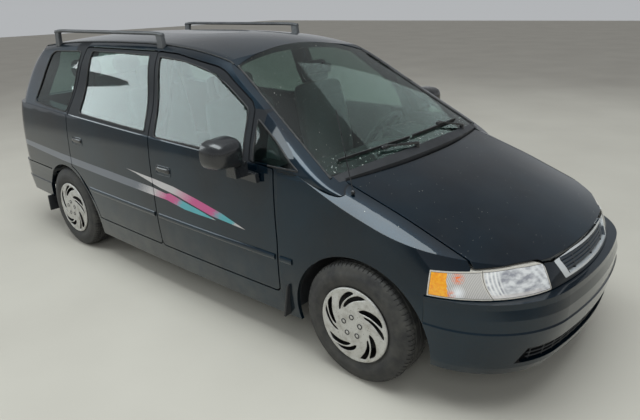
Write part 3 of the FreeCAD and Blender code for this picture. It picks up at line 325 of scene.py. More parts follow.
def paint_base(f, colours):
    patches = f.spots(1.6, 3.0, 0.35, 0.65)
    flake = f.span(f.cells(900.0), 0.0, 0.7, 0.75, 1.3)
    base = f.mix(patches, tuple(colours.paint_shade), tuple(colours.paint))
    return f.node("ShaderNodeVectorMath", {0: base, 1: flake}, operation="MULTIPLY")


def lacquer(f, colour, edge, plain=None):
    """Metallic paint under a clear coat, with soft panel edges. Where plain is zero the coat is missing."""
    f.set(Base_Color=colour, Metallic=METALLIC_PAINT, Roughness=0.30, Coat_Weight=0.9,
          Coat_Roughness=0.03, Coat_IOR=1.5, Specular_IOR_Level=0.05,
          Normal=f.bump(f.noise(3.0, 2.0), 0.05, 0.004, edge))
    if plain is not None:
        f.set(Metallic=f.times(plain, METALLIC_PAINT), Coat_Weight=plain)
    return f


def body_paint(colours, name):
    f = Finish(name)
    return lacquer(f, petals(f, paint_base(f, colours)), PANEL_EDGE)


def side_paint(f, colours):
    """Body paint with the band, the fin and the blade, and a paler warm grey low down that is partly road
    dust and partly a painted reflection of the pale floor.
    """
    outside = f.above(f.unsigned(f.y), STRIPES_FROM)

    def stripe(base, top, start, end):
        inside = f.between(f.along(f.x, base), f.z, f.along(f.x, top))
        return f.times(inside, f.between(start, f.x, end), outside)

    grain = f.times(f.minus(f.noise(160.0, 2.0), 0.5), 0.16)
    shade = f.plus(f.plus(f.x, f.times(f.z, -0.9)), grain)
    silver = tuple(colours.band)
    colour = f.mix(stripe(BAND_BASE, BAND_TOP, BAND_REAR, BAND_FRONT), paint_base(f, colours), f.ramp(
        f.span(shade, -0.95, -0.60), [(0.0, silver), (0.55, WHITE), (1.0, PINK)]))
    colour = f.mix(stripe(FIN_BASE, FIN_TOP, BAND_FRONT, FIN_FRONT), colour, f.ramp(
        f.span(shade, -0.80, -0.10),
        [(0.0, silver), (0.16, PINK), (0.42, PINK), (0.50, TEAL), (0.93, TEAL), (1.0, WHITE)]))
    colour = f.mix(stripe(BLADE_BASE, BLADE_TOP, BLADE_REAR, BLADE_FRONT), colour, f.ramp(
        f.span(shade, -1.05, 0.05),
        [(0.0, WHITE), (0.42, WHITE), (0.62, PINK), (0.80, PINK), (0.88, TEAL), (0.985, TEAL), (1.0, WHITE)]))
    # Paler warm grey low down: partly road dust, partly a painted reflection of the pale floor.
    dust = f.times(f.span(f.z, 0.20, 0.60, 0.45, 0.0), f.spots(9.0, 6.0, 0.35, 0.75))
    return f.mix(dust, colour, (0.085, 0.085, 0.075))


def above_belt(f):
    belt = f.plus(f.times(f.minus(f.x, BELT_FRONT[0]), BELT_SLOPE), BELT_FRONT[1] + BELT_LIFT)
    return f.step(f.z, belt)


def two_faced(f, colours, colour, dark, turned, inside_colour, dull):
    """Paint outside, black trim where dark is one, and cabin colour on what faces the middle of the car."""
    outward_part = f.times(f.facing(1), f.math("SIGN", f.y))
    inner = f.minus(1.0, f.step(outward_part, turned, 0.02))
    colour = f.mix(dark, colour, opaque(colours.trim, 1.5))
    plain = f.minus(1.0, f.most(dark, inner))
    lacquer(f, f.mix(inner, colour, inside_colour), PART_EDGE, plain)
    return f.set(Roughness=f.fade(plain, dull, 0.33))


def fender_paint(colours, name):
    f = Finish(name)
    return lacquer(f, petals(f, side_paint(f, colours), 0.7), PANEL_EDGE)


def door_paint(colours, name):
    """Side paint below the belt line, black frames above it, trim on the inside."""
    f = Finish(name)
    colour = side_paint(f, colours)
    return two_faced(f, colours, colour, above_belt(f), -0.25, (0.050, 0.058, 0.058), 0.42)


def frame_paint(colours, name):
    """Side paint, with the black pillar behind the rear door and a dark inside."""
    f = Finish(name)
    colour = petals(f, side_paint(f, colours), 0.6)
    pillar = f.between(-1.262, f.x, -1.10)
    low_bar = f.times(f.between(0.60, f.x, 0.806), f.step(1.30, f.z))
    dark = f.times(f.most(pillar, low_bar), above_belt(f))
    return two_faced(f, colours, colour, dark, -0.35, (0.060, 0.070, 0.070), 0.45)


# Slot in the front bumper, with half its width at its base and at its top.
INTAKE_LOW = 0.2945
INTAKE_HIGH = 0.3735
INTAKE_HALF = (0.634, 0.597)
INTAKE_REAR = 1.9


def bumper_paint(colours, name):
    """Painted cover, dusty low down, with painted shade in the intake: its walls are painted near black and
    dull.
    """
    f = Finish(name)
    low = f.span(f.z, 0.19, 0.30, 0.5, 0.0)
    dust = f.times(low, f.spots(11.0, 6.0, 0.35, 0.7))
    colour = f.mix(dust, paint_base(f, colours), (0.075, 0.075, 0.068))
    scuff = f.times(f.span(f.noise(45.0, 4.0, place=f.scaled((0.3, 0.3, 3.0))), 0.66, 0.74), low)
    colour = f.mix(scuff, colour, (0.16, 0.16, 0.15))
    half = f.span(f.z, INTAKE_LOW, INTAKE_HIGH, *INTAKE_HALF)
    upright = f.between(INTAKE_LOW, f.z, INTAKE_HIGH)
    # Painted shade: the walls inside the intake slot are painted near black without gloss, for the dark
    # opening behind the mesh.
    intake_shade = f.times(upright, f.step(half, f.unsigned(f.y)), f.step(f.x, INTAKE_REAR))
    colour = f.mix(intake_shade, colour, (0.006, 0.006, 0.007))
    return lacquer(f, colour, PART_EDGE, f.minus(1.0, intake_shade))


GLASS_IOR = 1.45
SCREEN_FOOT = (1.02, 1.13)
SCREEN_HALF = 0.985
SCREEN_BAND = 1.024


def window_glass(colours, name):
    return Finish(name).set(Base_Color=(0.46, 0.60, 0.57), Roughness=0.0, Transmission_Weight=1.0,
                            IOR=GLASS_IOR)


def screen_glass(colours, name):
    """Windscreen: clear, with petals along its foot and a dark band at its edge."""
    f = Finish(name)
    foot = f.span(f.z, *SCREEN_FOOT, 1.0, 0.0)
    heap = f.times(f.spots(60.0, 4.0, 0.64, 0.70), foot)
    mask = f.most(petal_mask(f, 1.3), heap, clamp=True)
    colour = f.mix(mask, (0.44, 0.55, 0.51), PETAL_ON_GLASS)
    edge = f.most(f.step(f.unsigned(f.y), SCREEN_HALF), f.step(SCREEN_BAND, f.z))
    colour = f.mix(edge, colour, (0.02, 0.02, 0.02))
    clear = f.math("SUBTRACT", 1.0, f.most(mask, edge), clamp=True)
    return f.set(Base_Color=colour, Roughness=f.fade(mask, 0.0, 0.7), Transmission_Weight=clear,
                 IOR=GLASS_IOR)


def black_plastic(colours, name):
    f = Finish(name)
    wear = f.spots(6.0, 4.0, 0.3, 0.7, 0.8, 1.7)
    base = f.node("ShaderNodeVectorMath", {0: tuple(colours.trim)[:3], 1: wear}, operation="MULTIPLY")
    return f.set(Base_Color=base, Roughness=f.spots(14.0, 3.0, 0.3, 0.7, 0.34, 0.5),
                 Normal=f.bump(f.cells(700.0), 0.12, 0.0006, 0.003))


def glossy_black(colours, name):
    f = Finish(name)
    return f.set(Base_Color=opaque(colours.trim, 0.9), Coat_Weight=0.6, Coat_Roughness=0.08,
                 Roughness=f.spots(8.0, 4.0, 0.3, 0.7, 0.22, 0.34),
                 Normal=f.bump(f.noise(2.0), 0.02, 0.002, 0.004))


def seal_rubber(colours, name):
    f = Finish(name)
    colour = f.mix(f.spots(30.0, 5.0, 0.4, 0.8), (0.012, 0.012, 0.013), (0.040, 0.040, 0.038))
    return f.set(Base_Color=colour, Roughness=0.62, Normal=f.bump(f.noise(400.0), 0.15, 0.0005))


def tyre_rubber(colours, name):
    """Rubber with a fine grain and dust."""
    f = Finish(name)
    dust = f.span(f.noise(18.0, 6.0, 0.6), 0.35, 0.75)
    return f.set(Base_Color=f.mix(dust, (0.020, 0.020, 0.021), (0.068, 0.065, 0.058)),
                 Roughness=f.fade(dust, 0.62, 0.85), Normal=f.bump(f.noise(240.0, 4.0), 0.35, 0.0008))


def cover_silver(colours, name):
    f = Finish(name)
    grime = f.span(f.noise(26.0, 6.0, 0.62), 0.46, 0.78)
    colour = f.mix(grime, tuple(colours.silver), (0.34, 0.32, 0.28))
    colour = f.mix(f.spots(170.0, 3.0, 0.62, 0.72), colour, (0.22, 0.20, 0.17))
    return f.set(Base_Color=colour, Metallic=0.45, Roughness=f.spots(40.0, 3.0, 0.3, 0.7, 0.36, 0.5),
                 Normal=f.bump(f.noise(120.0, 3.0), 0.06, 0.0008, 0.0015))


def dark_steel(colours, name):
    f = Finish(name)
    rust = f.span(f.noise(32.0, 6.0, 0.65), 0.52, 0.72)
    return f.set(Base_Color=f.mix(rust, (0.030, 0.030, 0.032), (0.075, 0.042, 0.024)),
                 Metallic=f.fade(rust, 0.7, 0.1), Roughness=f.fade(rust, 0.45, 0.85),
                 Normal=f.bump(f.noise(130.0, 5.0), 0.3, 0.001, 0.002))


def under_paint(colours, name):
    f = Finish(name)
    dirt = f.span(f.noise(7.0, 7.0, 0.6), 0.35, 0.7)
    return f.set(Base_Color=f.mix(dirt, (0.020, 0.026, 0.028), (0.070, 0.062, 0.050)),
                 Roughness=f.fade(dirt, 0.5, 0.9), Normal=f.bump(f.noise(90.0, 5.0), 0.3, 0.0015))


def chrome_bright(colours, name):
    f = Finish(name)
    haze = f.spots(22.0, 5.0, 0.4, 0.8)
    return f.set(Base_Color=f.mix(haze, (0.72, 0.73, 0.74), (0.55, 0.55, 0.55)), Metallic=1.0,
                 Roughness=f.fade(haze, 0.10, 0.28), Normal=f.bump(f.noise(60.0), 0.02, 0.0005, 0.003))


# Grille, with half its width at its base and at its top.
GRILLE_BASE = 0.618
GRILLE_TOP = 0.722
GRILLE_HALF = (0.274, 0.328)
GRILLE_RIM = 0.011


def grille_finish(colours, name):
    """Bright frame round dark bars, whose upper edges catch the light."""
    f = Finish(name)
    half = f.span(f.z, GRILLE_BASE, GRILLE_TOP, *GRILLE_HALF)
    upright = f.between(GRILLE_BASE + GRILLE_RIM, f.z, GRILLE_TOP - GRILLE_RIM)
    inside = f.times(f.step(half, f.unsigned(f.y)), upright)
    bars = f.mix(f.span(f.facing(2), 0.2, 0.8), (0.010, 0.013, 0.017), (0.060, 0.075, 0.095))
    return f.set(Base_Color=f.mix(inside, (0.80, 0.82, 0.83), bars),
                 Metallic=f.fade(inside, 0.55, 0.0), Roughness=f.fade(inside, 0.24, 0.38),
                 Normal=f.bump(f.noise(80.0), 0.03, 0.0005, 0.002))


LAMP_BASE = 0.602
LAMP_INNER = 0.430
LAMP_OUTER = 1.853
LAMP_TOP = [(0.430, 0.7225), (0.570, 0.7295), (0.820, 0.7175)]
LAMP_SPLIT = 0.692
LAMP_MIDDLE = 0.662
AMBER_EDGE = 1.922
AMBER_TOP = 0.705
CHALK = (0.90, 0.90, 0.92)


def lamp_lens(colours, name):
    """Ribbed corner lamp with an amber end, beside a fluted main lamp over a bright bowl."""
    f = Finish(name)
    out = f.unsigned(f.y)
    mirrored = f.node("ShaderNodeCombineXYZ", {0: f.x, 1: out, 2: f.z})

    def spot(x, y, z, radius, blur):
        """One near a point of the lens."""
        away = f.node("ShaderNodeVectorMath", {0: mirrored, 1: (x, y, z)}, out=1, operation="DISTANCE")
        return f.span(away, radius + blur, radius - blur)

    def waves(value, pitch):
        return f.span(f.math("SINE", f.times(value, math.tau / pitch)), -1.0, 1.0)

    def clouds(scale, stretch, low, high):
        return f.span(f.noise(scale, 3.0, place=f.scaled((1.0, 1.0, stretch))), low, high)

    def thin(distance, half):
        """One within a thin line."""
        return f.below(f.unsigned(distance), half)

    bulge = f.times(f.math("POWER", f.minus(f.z, LAMP_MIDDLE), 2.0), -3.0)
    from_split = f.minus(f.minus(out, LAMP_SPLIT), bulge)
    corner = f.step(from_split, 0.0)

    fine = waves(out, 0.0042)
    ribbed = f.mix(fine, (0.36, 0.33, 0.31), (0.66, 0.63, 0.60))
    ribbed = f.mix(spot(1.975, 0.765, 0.630, 0.020, 0.018), ribbed, CHALK)
    glow = f.most(spot(1.966, 0.752, 0.694, 0.020, 0.014), spot(1.948, 0.780, 0.618, 0.015, 0.012))
    ribbed = f.mix(f.times(glow, clouds(70.0, 3.0, 0.36, 0.56)), ribbed, (0.90, 0.17, 0.03))

    bowl = f.mix(clouds(21.0, 2.2, 0.36, 0.62), (0.30, 0.30, 0.33), (0.74, 0.73, 0.73))
    sweep = f.times(waves(f.plus(out, f.times(f.z, -0.6)), 0.034), f.span(out, 0.52, 0.47))
    bowl = f.mix(f.times(sweep, 0.6), bowl, (0.88, 0.88, 0.88))
    flutes = f.times(waves(f.minus(out, bulge), 0.0125), f.span(out, 0.630, 0.645))
    bowl = f.mix(flutes, bowl, (0.86, 0.84, 0.82))
    foot = f.times(f.span(f.z, 0.628, 0.618), f.span(out, 0.46, 0.50))
    bowl = f.mix(f.times(foot, 0.7), bowl, (0.72, 0.66, 0.62))

    wander = f.times(f.minus(f.noise(60.0, 3.0), 0.5), 0.018)
    amber_line = f.plus(f.times(f.minus(AMBER_TOP, f.z), 0.17), AMBER_EDGE)
    amber = f.above(f.plus(amber_line, wander), f.x)
    amber_tone = f.mix(f.spots(90.0, 2.0, 0.35, 0.65), (0.92, 0.30, 0.004), (1.0, 0.47, 0.02))
    colour = f.mix(amber, f.mix(corner, bowl, ribbed), amber_tone)

    colour = f.mix(thin(from_split, 0.0045), colour, (0.62, 0.58, 0.53))
    ends = f.least(f.minus(out, LAMP_INNER), f.minus(f.x, LAMP_OUTER))
    rows = f.least(f.minus(f.along(out, LAMP_TOP), f.z), f.minus(f.z, LAMP_BASE))
    border = f.least(ends, rows)
    colour = f.mix(f.below(border, 0.0055), colour, (0.56, 0.52, 0.46))
    lines = f.most(thin(from_split, 0.0009), thin(f.minus(border, 0.0065), 0.0009))
    colour = f.mix(lines, colour, (0.07, 0.06, 0.055))
    relief = f.plus(f.times(fine, corner), f.times(flutes, 2.0))
    return f.set(Base_Color=colour, Roughness=0.22, Coat_Weight=1.0, Coat_Roughness=0.03,
                 Normal=f.bump(relief, 0.2, 0.0015, 0.004))


def tail_lens(colours, name):
    """Red lens with an amber and a white field, ribbed across."""
    f = Finish(name)
    rows = f.math("SINE", f.times(f.z, 700.0))
    colour = f.mix(f.between(0.80, f.z, 0.88), (0.32, 0.008, 0.010), (0.60, 0.16, 0.01))
    colour = f.mix(f.between(0.70, f.z, 0.76), colour, (0.50, 0.50, 0.50))
    return f.set(Base_Color=colour, Roughness=0.2, Coat_Weight=1.0, Coat_Roughness=0.03,
                 Normal=f.bump(rows, 0.2, 0.001, 0.003))


THREADS = 1900.0


def seat_cloth(colours, name):
    """Woven cloth with a finer fleck."""
    f = Finish(name)
    across = f.math("SINE", f.times(f.y, THREADS))
    lengthwise = f.math("SINE", f.times(f.plus(f.x, f.z), THREADS))
    cloth = tuple(colours.cloth)
    colour = f.mix(f.spots(5.0, 4.0, 0.35, 0.7), cloth, opaque(cloth, 0.72))
    colour = f.mix(f.spots(330.0, 2.0, 0.5, 0.72), colour, opaque(cloth, 1.7))
    return f.set(Base_Color=colour, Roughness=0.92, Sheen_Weight=0.3,
                 Normal=f.bump(f.times(across, lengthwise), 0.4, 0.0008))


def dash_plastic(colours, name):
    f = Finish(name)
    colour = f.mix(f.spots(3.0, 3.0, 0.3, 0.7), (0.048, 0.060, 0.060), (0.068, 0.080, 0.078))
    return f.set(Base_Color=colour, Roughness=0.62, Normal=f.bump(f.cells(420.0), 0.3, 0.0008, 0.004))


def rack_grey(colours, name):
    f = Finish(name)
    colour = f.mix(f.spots(9.0, 5.0, 0.35, 0.7), (0.045, 0.048, 0.052), (0.085, 0.088, 0.092))
    return f.set(Base_Color=colour, Roughness=0.42, Normal=f.bump(f.noise(200.0, 3.0), 0.12, 0.0006, 0.003))


def mirror_face(colours, name):
    f = Finish(name)
    return f.set(Base_Color=(0.80, 0.82, 0.84), Metallic=1.0,
                 Roughness=f.spots(12.0, 4.0, 0.4, 0.8, 0.02, 0.08))


def plate_blank(colours, name):
    f = Finish(name)
    colour = f.mix(f.spots(30.0, 5.0, 0.45, 0.75), (0.60, 0.61, 0.60), (0.42, 0.41, 0.38))
    return f.set(Base_Color=colour, Roughness=0.45, Normal=f.bump(f.noise(80.0), 0.05, 0.0005, 0.002))


FINISHES = {make.__name__: make for make in (
    body_paint, fender_paint, door_paint, frame_paint, bumper_paint, window_glass, screen_glass,
    black_plastic, glossy_black, seal_rubber, tyre_rubber, cover_silver, dark_steel, under_paint,
    chrome_bright, grille_finish, lamp_lens, tail_lens, seat_cloth, dash_plastic, rack_grey,
    mirror_face, plate_blank)}

# Solids of each finish. A name that ends in an underscore stands for the solids of both sides or all wheels.
FINISHED_NODES = {
    "body_paint": ("roof_panel", "hood", "nose_panel", "tailgate"),
    "frame_paint": ("side_frame_",),
    "fender_paint": ("fender_",),
    "door_paint": ("door_front_", "door_rear_"),
    "bumper_paint": ("front_bumper", "rear_bumper"),
    "window_glass": ("tailgate_glass", "fixed_glass", "glass_front_", "glass_rear_"),
    "screen_glass": ("windscreen",),
    "black_plastic": ("cowl", "wheel_liners", "fuel_tank"),
    "glossy_black": ("aerial", "mirror_"),
    "grille_finish": ("grille",),
    "lamp_lens": ("headlamps",),
    "tail_lens": ("tail_lamps",),
    "under_paint": ("floor_pan", "front_frame", "front_subframe"),
    "dark_steel": ("engine", "rear_axle", "exhaust", "knuckle_", "wheel_"),
    "tyre_rubber": ("tyre_",),
    "dash_plastic": ("dashboard", "steering_wheel"),
    "rack_grey": ("roof_rails",),
    "seat_cloth": ("front_seats", "middle_seats", "rear_bench"),
}
NODE_FINISH = {}
for material, names in FINISHED_NODES.items():
    for name in names:
        ends = ("left", "right") + CORNERS if name.endswith("_") else ("",)
        for end in ends:
            NODE_FINISH[name + end] = material


# Making and placing pieces

def outward(bm, merge):
    bmesh.ops.remove_doubles(bm, verts=bm.verts, dist=merge)
    bmesh.ops.recalc_face_normals(bm, faces=bm.faces)


def piece(name, bm, body, material, angle=40.0, merge=0.00005):
    """A smooth mesh piece that rides on a body and takes its finish from a slot."""
    if merge:
        outward(bm, merge)
    mesh = bpy.data.meshes.new(name)
    bm.to_mesh(mesh)
    bm.free()
    mesh.shade_smooth()
    mesh.materials.append(finish(material))
    obj = bpy.data.objects.new(name, mesh)
    bpy.context.scene.collection.objects.link(obj)
    mesh.set_sharp_from_angle(angle=math.radians(angle))
    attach(obj, body)
    return obj


def modifier(obj, kind, **settings):
    made = obj.modifiers.new(kind.title(), kind)
    for key, value in settings.items():
        setattr(made, key, value)


def soften(obj, width, segments, degrees=30):
    """Round the edges that turn by more than this angle."""
    modifier(obj, "BEVEL", width=width, segments=segments, limit_method="ANGLE",
             angle_limit=math.radians(degrees))


def add_block(bm, low, high, bevel, segments=3):
    """A box between two corners, with rounded edges."""
    low, high = Vector(low), Vector(high)
    made = bmesh.ops.create_cube(bm, size=1.0)["verts"]
    bmesh.ops.scale(bm, vec=high - low, verts=made)
    bmesh.ops.translate(bm, vec=(low + high) / 2, verts=made)
    edges = list({edge for vert in made for edge in vert.link_edges})
    faces = bmesh.ops.bevel(bm, geom=edges, offset=bevel, segments=segments, profile=0.5,
                            affect="EDGES", material=-1)["faces"]
    return list({vert for face in faces for vert in face.verts})


def add_rod(bm, start, end, radius, segments, end_radius=None):
    """A closed round rod between two points."""
    start, end = Vector(start), Vector(end)
    span = end - start
    made = bmesh.ops.create_cone(
        bm, cap_ends=True, segments=segments, radius1=radius,
        radius2=radius if end_radius is None else end_radius, depth=span.length)["verts"]
    turn = span.to_track_quat("Z", "Y").to_matrix().to_4x4()
    bmesh.ops.transform(bm, matrix=Matrix.Translation((start + end) / 2) @ turn, verts=made)


def station_ring(bm, points):
    """Closed loop of edges through points."""
    verts = [bm.verts.new(point) for point in points]
    return [bm.edges.new((vert, verts[(n + 1) % len(verts)])) for n, vert in enumerate(verts)]


def add_loft(bm, rings, filled=(0, -1)):
    """Skin through closed rings of points, filled at the rings that are named."""
    edges = [station_ring(bm, ring) for ring in rings]
    for first, second in zip(edges, edges[1:]):
        bmesh.ops.bridge_loops(bm, edges=first + second)
    for end in filled:
        bmesh.ops.edgeloop_fill(bm, edges=edges[end])


def strip_rings(places, section):
    """Rings of a section of (up, out) points carried along (place, up, out) frames."""
    return [[place + up * rise + out * proud for rise, proud in section] for place, up, out in places]


def add_spun(bm, profile, centre, steps, sign):
    """A ring spun about an axle from (across, radius) points, turned to its side of the car."""
    verts = [bm.verts.new(centre + Vector((0, sign * across, radius))) for across, radius in profile]
    edges = [bm.edges.new(pair) for pair in zip(verts, verts[1:])]
    bmesh.ops.spin(bm, geom=verts + edges, cent=centre, axis=(0, 1, 0), angle=math.tau, steps=steps,
                   use_merge=True)


def skin_of(*names):
    """Search tree of the named solids' surfaces."""
    points, faces = [], []
    for name in names:
        mesh = NODES[name].data
        start = len(points)
        points += [vert.co.copy() for vert in mesh.vertices]
        faces += [[start + index for index in polygon.vertices] for polygon in mesh.polygons]
    return BVHTree.FromPolygons(points, faces)


def seen(tree, start, way):
    """Point of the surface that a line of sight meets first, or None."""
    return tree.ray_cast(Vector(start), Vector(way))[0]


def seen_from_side(tree, x, z, sign):
    return seen(tree, (x, sign * 1.6, z), (0, -sign, 0))


def seen_from_behind(tree, y, z):
    return seen(tree, (-3.0, y, z), (1, 0, 0))


def on_top(tree, x, y, proud=0.0):
    """Point of the surface as seen from above. Over a shut line it takes the nearest panel's height."""
    for nudge in (0.0, 0.006, -0.006, 0.012, -0.012):
        for dx, dy in ((0.0, nudge), (nudge, 0.0)):
            hit = seen(tree, (x + dx, y + dy, 2.5), (0, 0, -1))
            if hit is not None:
                return Vector((x, y, hit.z + proud))
    raise RuntimeError(f"no surface at x {x:.3f}, y {y:.3f}")


def outer_normal(ahead, up, sign):
    """Direction square to both that points away from the middle of the car."""
    out = ahead.cross(up).normalized()
    return -out if out.y * sign < 0 else out


def bead(name, points, radius, body, closed=False):
    """A thin rubber bead along points, as one smooth mesh."""
    curve = bpy.data.curves.new(name, "CURVE")
    curve.dimensions = "3D"
    curve.bevel_depth = radius
    curve.bevel_resolution = 2
    curve.use_fill_caps = True
    spline = curve.splines.new("POLY")
    spline.points.add(len(points) - 1)
    for place, point in zip(spline.points, points):
        place.co = (*point, 1.0)
    spline.use_cyclic_u = closed
    holder = bpy.data.objects.new(name + "_path", curve)
    bpy.context.scene.collection.objects.link(holder)
    graph = bpy.context.evaluated_depsgraph_get()
    mesh = bpy.data.meshes.new_from_object(holder.evaluated_get(graph))
    bpy.data.objects.remove(holder)
    bm = bmesh.new()
    bm.from_mesh(mesh)
    bpy.data.meshes.remove(mesh)
    piece(name, bm, body, "seal_rubber")


def rounded_path(corners, steps=5):
    """Corners of (across, up, rounding) turned into a closed smooth line."""
    points = []
    count = len(corners)
    for index, (across, up, rounding) in enumerate(corners):
        here = Vector((across, up))
        before = Vector(corners[index - 1][:2]) - here
        after = Vector(corners[(index + 1) % count][:2]) - here
        trim = min(rounding, 0.45 * before.length, 0.45 * after.length)
        start = here + before.normalized() * trim
        end = here + after.normalized() * trim
        for step in range(steps + 1):
            t = step / steps
            points.append(start * (1 - t) ** 2 + here * 2 * t * (1 - t) + end * t ** 2)
    return points


def middle_of(points):
    return sum(points, Vector((0, 0))) / len(points)


def dense(points, gap):
    """A closed line with extra points where two neighbours lie further apart than the gap."""
    result = []
    for index, here in enumerate(points):
        there = points[(index + 1) % len(points)]
        parts = max(1, int((there - here).length / gap))
        result += [here.lerp(there, part / parts) for part in range(parts)]
    return result


# Operators, one for each piece or group of like pieces

class MINIVAN_OT_finishes(bpy.types.Operator):
    """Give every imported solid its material"""

    bl_idname = "minivan.finishes"
    bl_label = "Finishes"

    def execute(self, context):
        for name, obj in NODES.items():
            obj.data.materials.clear()
            obj.data.materials.append(finish(NODE_FINISH[name]))
        return {"FINISHED"}


BEAD_RADIUS = 0.1905
# Sidewall from the bead to the shoulder, as (across, radius).
SIDEWALL = [(0.078, BEAD_RADIUS), (0.084, 0.199), (0.088, 0.203), (0.097, 0.221), (0.1005, 0.236),
            (0.1022, 0.2415), (0.1025, 0.247), (0.1018, 0.262), (0.0985, 0.277), (0.0965, 0.280),
            (0.0935, 0.292), (0.0885, 0.305), (0.082, 0.3135), (0.0745, 0.3185), (0.067, 0.3205)]
SHOULDER = 0.0665
TREAD_RIBS = ((-0.062, -0.045), (-0.036, -0.006), (0.006, 0.036), (0.045, 0.062))
RIB_SLOPE = 0.0012
TREAD_PITCHES = 76
# Shares of one pitch round the tyre: block, edge of the sipe, sipe and its other edge.
PITCH_SHARES = (0.74, 0.03, 0.20, 0.03)
SIPE_TURN = (0.75, 0.99)
SIPE_ACROSS = (0.040, 0.086)
SIPE_FROM = 0.310
SIPE_DEPTH = 0.0045


class MINIVAN_OT_tyres(bpy.types.Operator):
    """Model the tyres with their tread"""

    bl_idname = "minivan.tyres"
    bl_label = "Tyres"

    def execute(self, context):
        depth = context.scene.minivan_sizes.tread_depth
        pitch = math.tau / TREAD_PITCHES
        for corner in CORNERS:
            low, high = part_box("tyre_" + corner)
            centre = (low + high) / 2
            radius = (high.z - low.z) / 2
            wall = SIDEWALL + [(SHOULDER, radius - depth - 0.001)]
            profile = [(-across, up) for across, up in wall]
            for start, end in TREAD_RIBS:
                profile += [(start, radius - depth), (start + RIB_SLOPE, radius - 0.0002),
                            (end - RIB_SLOPE, radius - 0.0002), (end, radius - depth)]
            profile += reversed(wall)
            bm = bmesh.new()
            edges = station_ring(bm, [centre + Vector((0, across, up)) for across, up in profile])
            end = bm.verts[:] + edges
            for share in PITCH_SHARES:
                end = bmesh.ops.spin(bm, geom=end, cent=centre, axis=(0, 1, 0), angle=pitch * share,
                                     steps=1)["geom_last"]
            for vert in bm.verts:
                arm = vert.co - centre
                turn = abs(math.atan2(arm.x, arm.z)) / pitch
                reach = math.hypot(arm.x, arm.z)
                in_sipe = SIPE_TURN[0] < turn < SIPE_TURN[1] and SIPE_ACROSS[0] < abs(arm.y) < SIPE_ACROSS[1]
                if in_sipe and reach > SIPE_FROM:
                    sunk = Vector((arm.x, 0, arm.z)) * (1 - SIPE_DEPTH / reach)
                    vert.co = centre + sunk + Vector((0, arm.y, 0))
            bmesh.ops.spin(bm, geom=bm.verts[:] + bm.edges[:] + bm.faces[:], cent=centre, axis=(0, 1, 0),
                           angle=math.tau - pitch, steps=TREAD_PITCHES - 1, use_duplicate=True)
            obj = piece("tread_" + corner, bm, "wheel_" + corner, "tyre_rubber", 30, 0.00008)
            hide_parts("tyre_" + corner)
        return {"FINISHED"}


# Rings of the cover from hub to rim: radius, height of the crown, share of the swirl, and how far the
# slot's sides draw together there.
COVER_RINGS = [
    (0.0, 0.114, 0.0, 0.0), (0.030, 0.114, 0.0, 0.0), (0.075, 0.1125, 0.0, 0.0), (0.092, 0.112, 0.02, 1.0),
    (0.104, 0.1115, 0.10, 1.0), (0.116, 0.1105, 0.22, 0.55), (0.130, 0.109, 0.36, 0.2),
    (0.145, 0.107, 0.52, 0.0), (0.160, 0.105, 0.68, 0.0), (0.172, 0.103, 0.80, 0.12),
    (0.181, 0.102, 0.88, 0.5), (0.188, 0.1035, 0.93, 0.6), (0.197, 0.1035, 0.97, 0.6),
    (0.2015, 0.100, 1.0, 0.6), (0.203, 0.093, 1.0, 0.6)]
# Angle of each column in a fifth of the cover, and its shift where a slot narrows, in degrees.
COVER_COLUMNS = [
    (0, 0), (8, 0), (16, 0), (24, 0), (27, 7), (34, 3), (40, -3), (44, -3), (47, 0), (50, 3), (54, 5),
    (60, 1), (66, -5), (69, -3), (72, 0)]
COVER_PARTS = 5
SLOT_RINGS = (4, 10)
SLOT_COLUMNS = ((4, 7), (9, 12))
RIB_LIFTS = {7: 0.003, 8: 0.005, 9: 0.003}
SLOT_EDGES = (4, 5, 6, 10, 11, 12)
SLOT_DROP = 0.003
# Section of the rim as (across, radius), from its rear edge to the hub and back to the rear edge.
RIM = [(-0.0825, 0.190), (-0.0825, 0.182), (-0.070, 0.176), (0.020, 0.170), (0.046, 0.150), (0.050, 0.090),
       (0.046, 0.0), (0.032, 0.0), (0.036, 0.084), (0.034, 0.146), (0.008, 0.176), (-0.060, 0.184),
       (0.060, 0.184), (0.086, 0.188), (0.086, 0.1902), (-0.080, 0.1902)]
BOLT_CIRCLE = 0.052
FIRST_BOLT = 0.35
# Sections of the dimple's ring and the bolt's cap as (across, radius).
DIMPLE = [(0.1105, 0.0125), (0.1150, 0.0145), (0.1150, 0.0100), (0.1105, 0.0100), (0.1105, 0.0125)]
BOLT_CAP = [(0.1095, 0.0095), (0.1135, 0.0090), (0.1155, 0.0060), (0.1160, 0.0)]


def cover_height(ring, column):
    """Crown of the cover, with the rib raised between two slots and the slots' edges sunk."""
    lift = 0.0
    if SLOT_RINGS[0] < ring <= SLOT_RINGS[1] + 1:
        lift = RIB_LIFTS.get(column, 0.0)
    if SLOT_RINGS[0] < ring <= SLOT_RINGS[1] and column in SLOT_EDGES:
        lift = -SLOT_DROP
    return COVER_RINGS[ring][1] + lift


def swirled(vert, swirl):
    """Place on the cover of a grid point, whose x counts rings and whose y counts columns."""
    ring = round(vert.x)
    column = round(vert.y)
    radius, _, turn_share, squeeze = COVER_RINGS[ring]
    angle, shift = (math.radians(value) for value in COVER_COLUMNS[column])
    turn = angle + shift * squeeze + swirl * turn_share
    return Vector((radius * math.cos(turn), cover_height(ring, column), radius * math.sin(turn)))


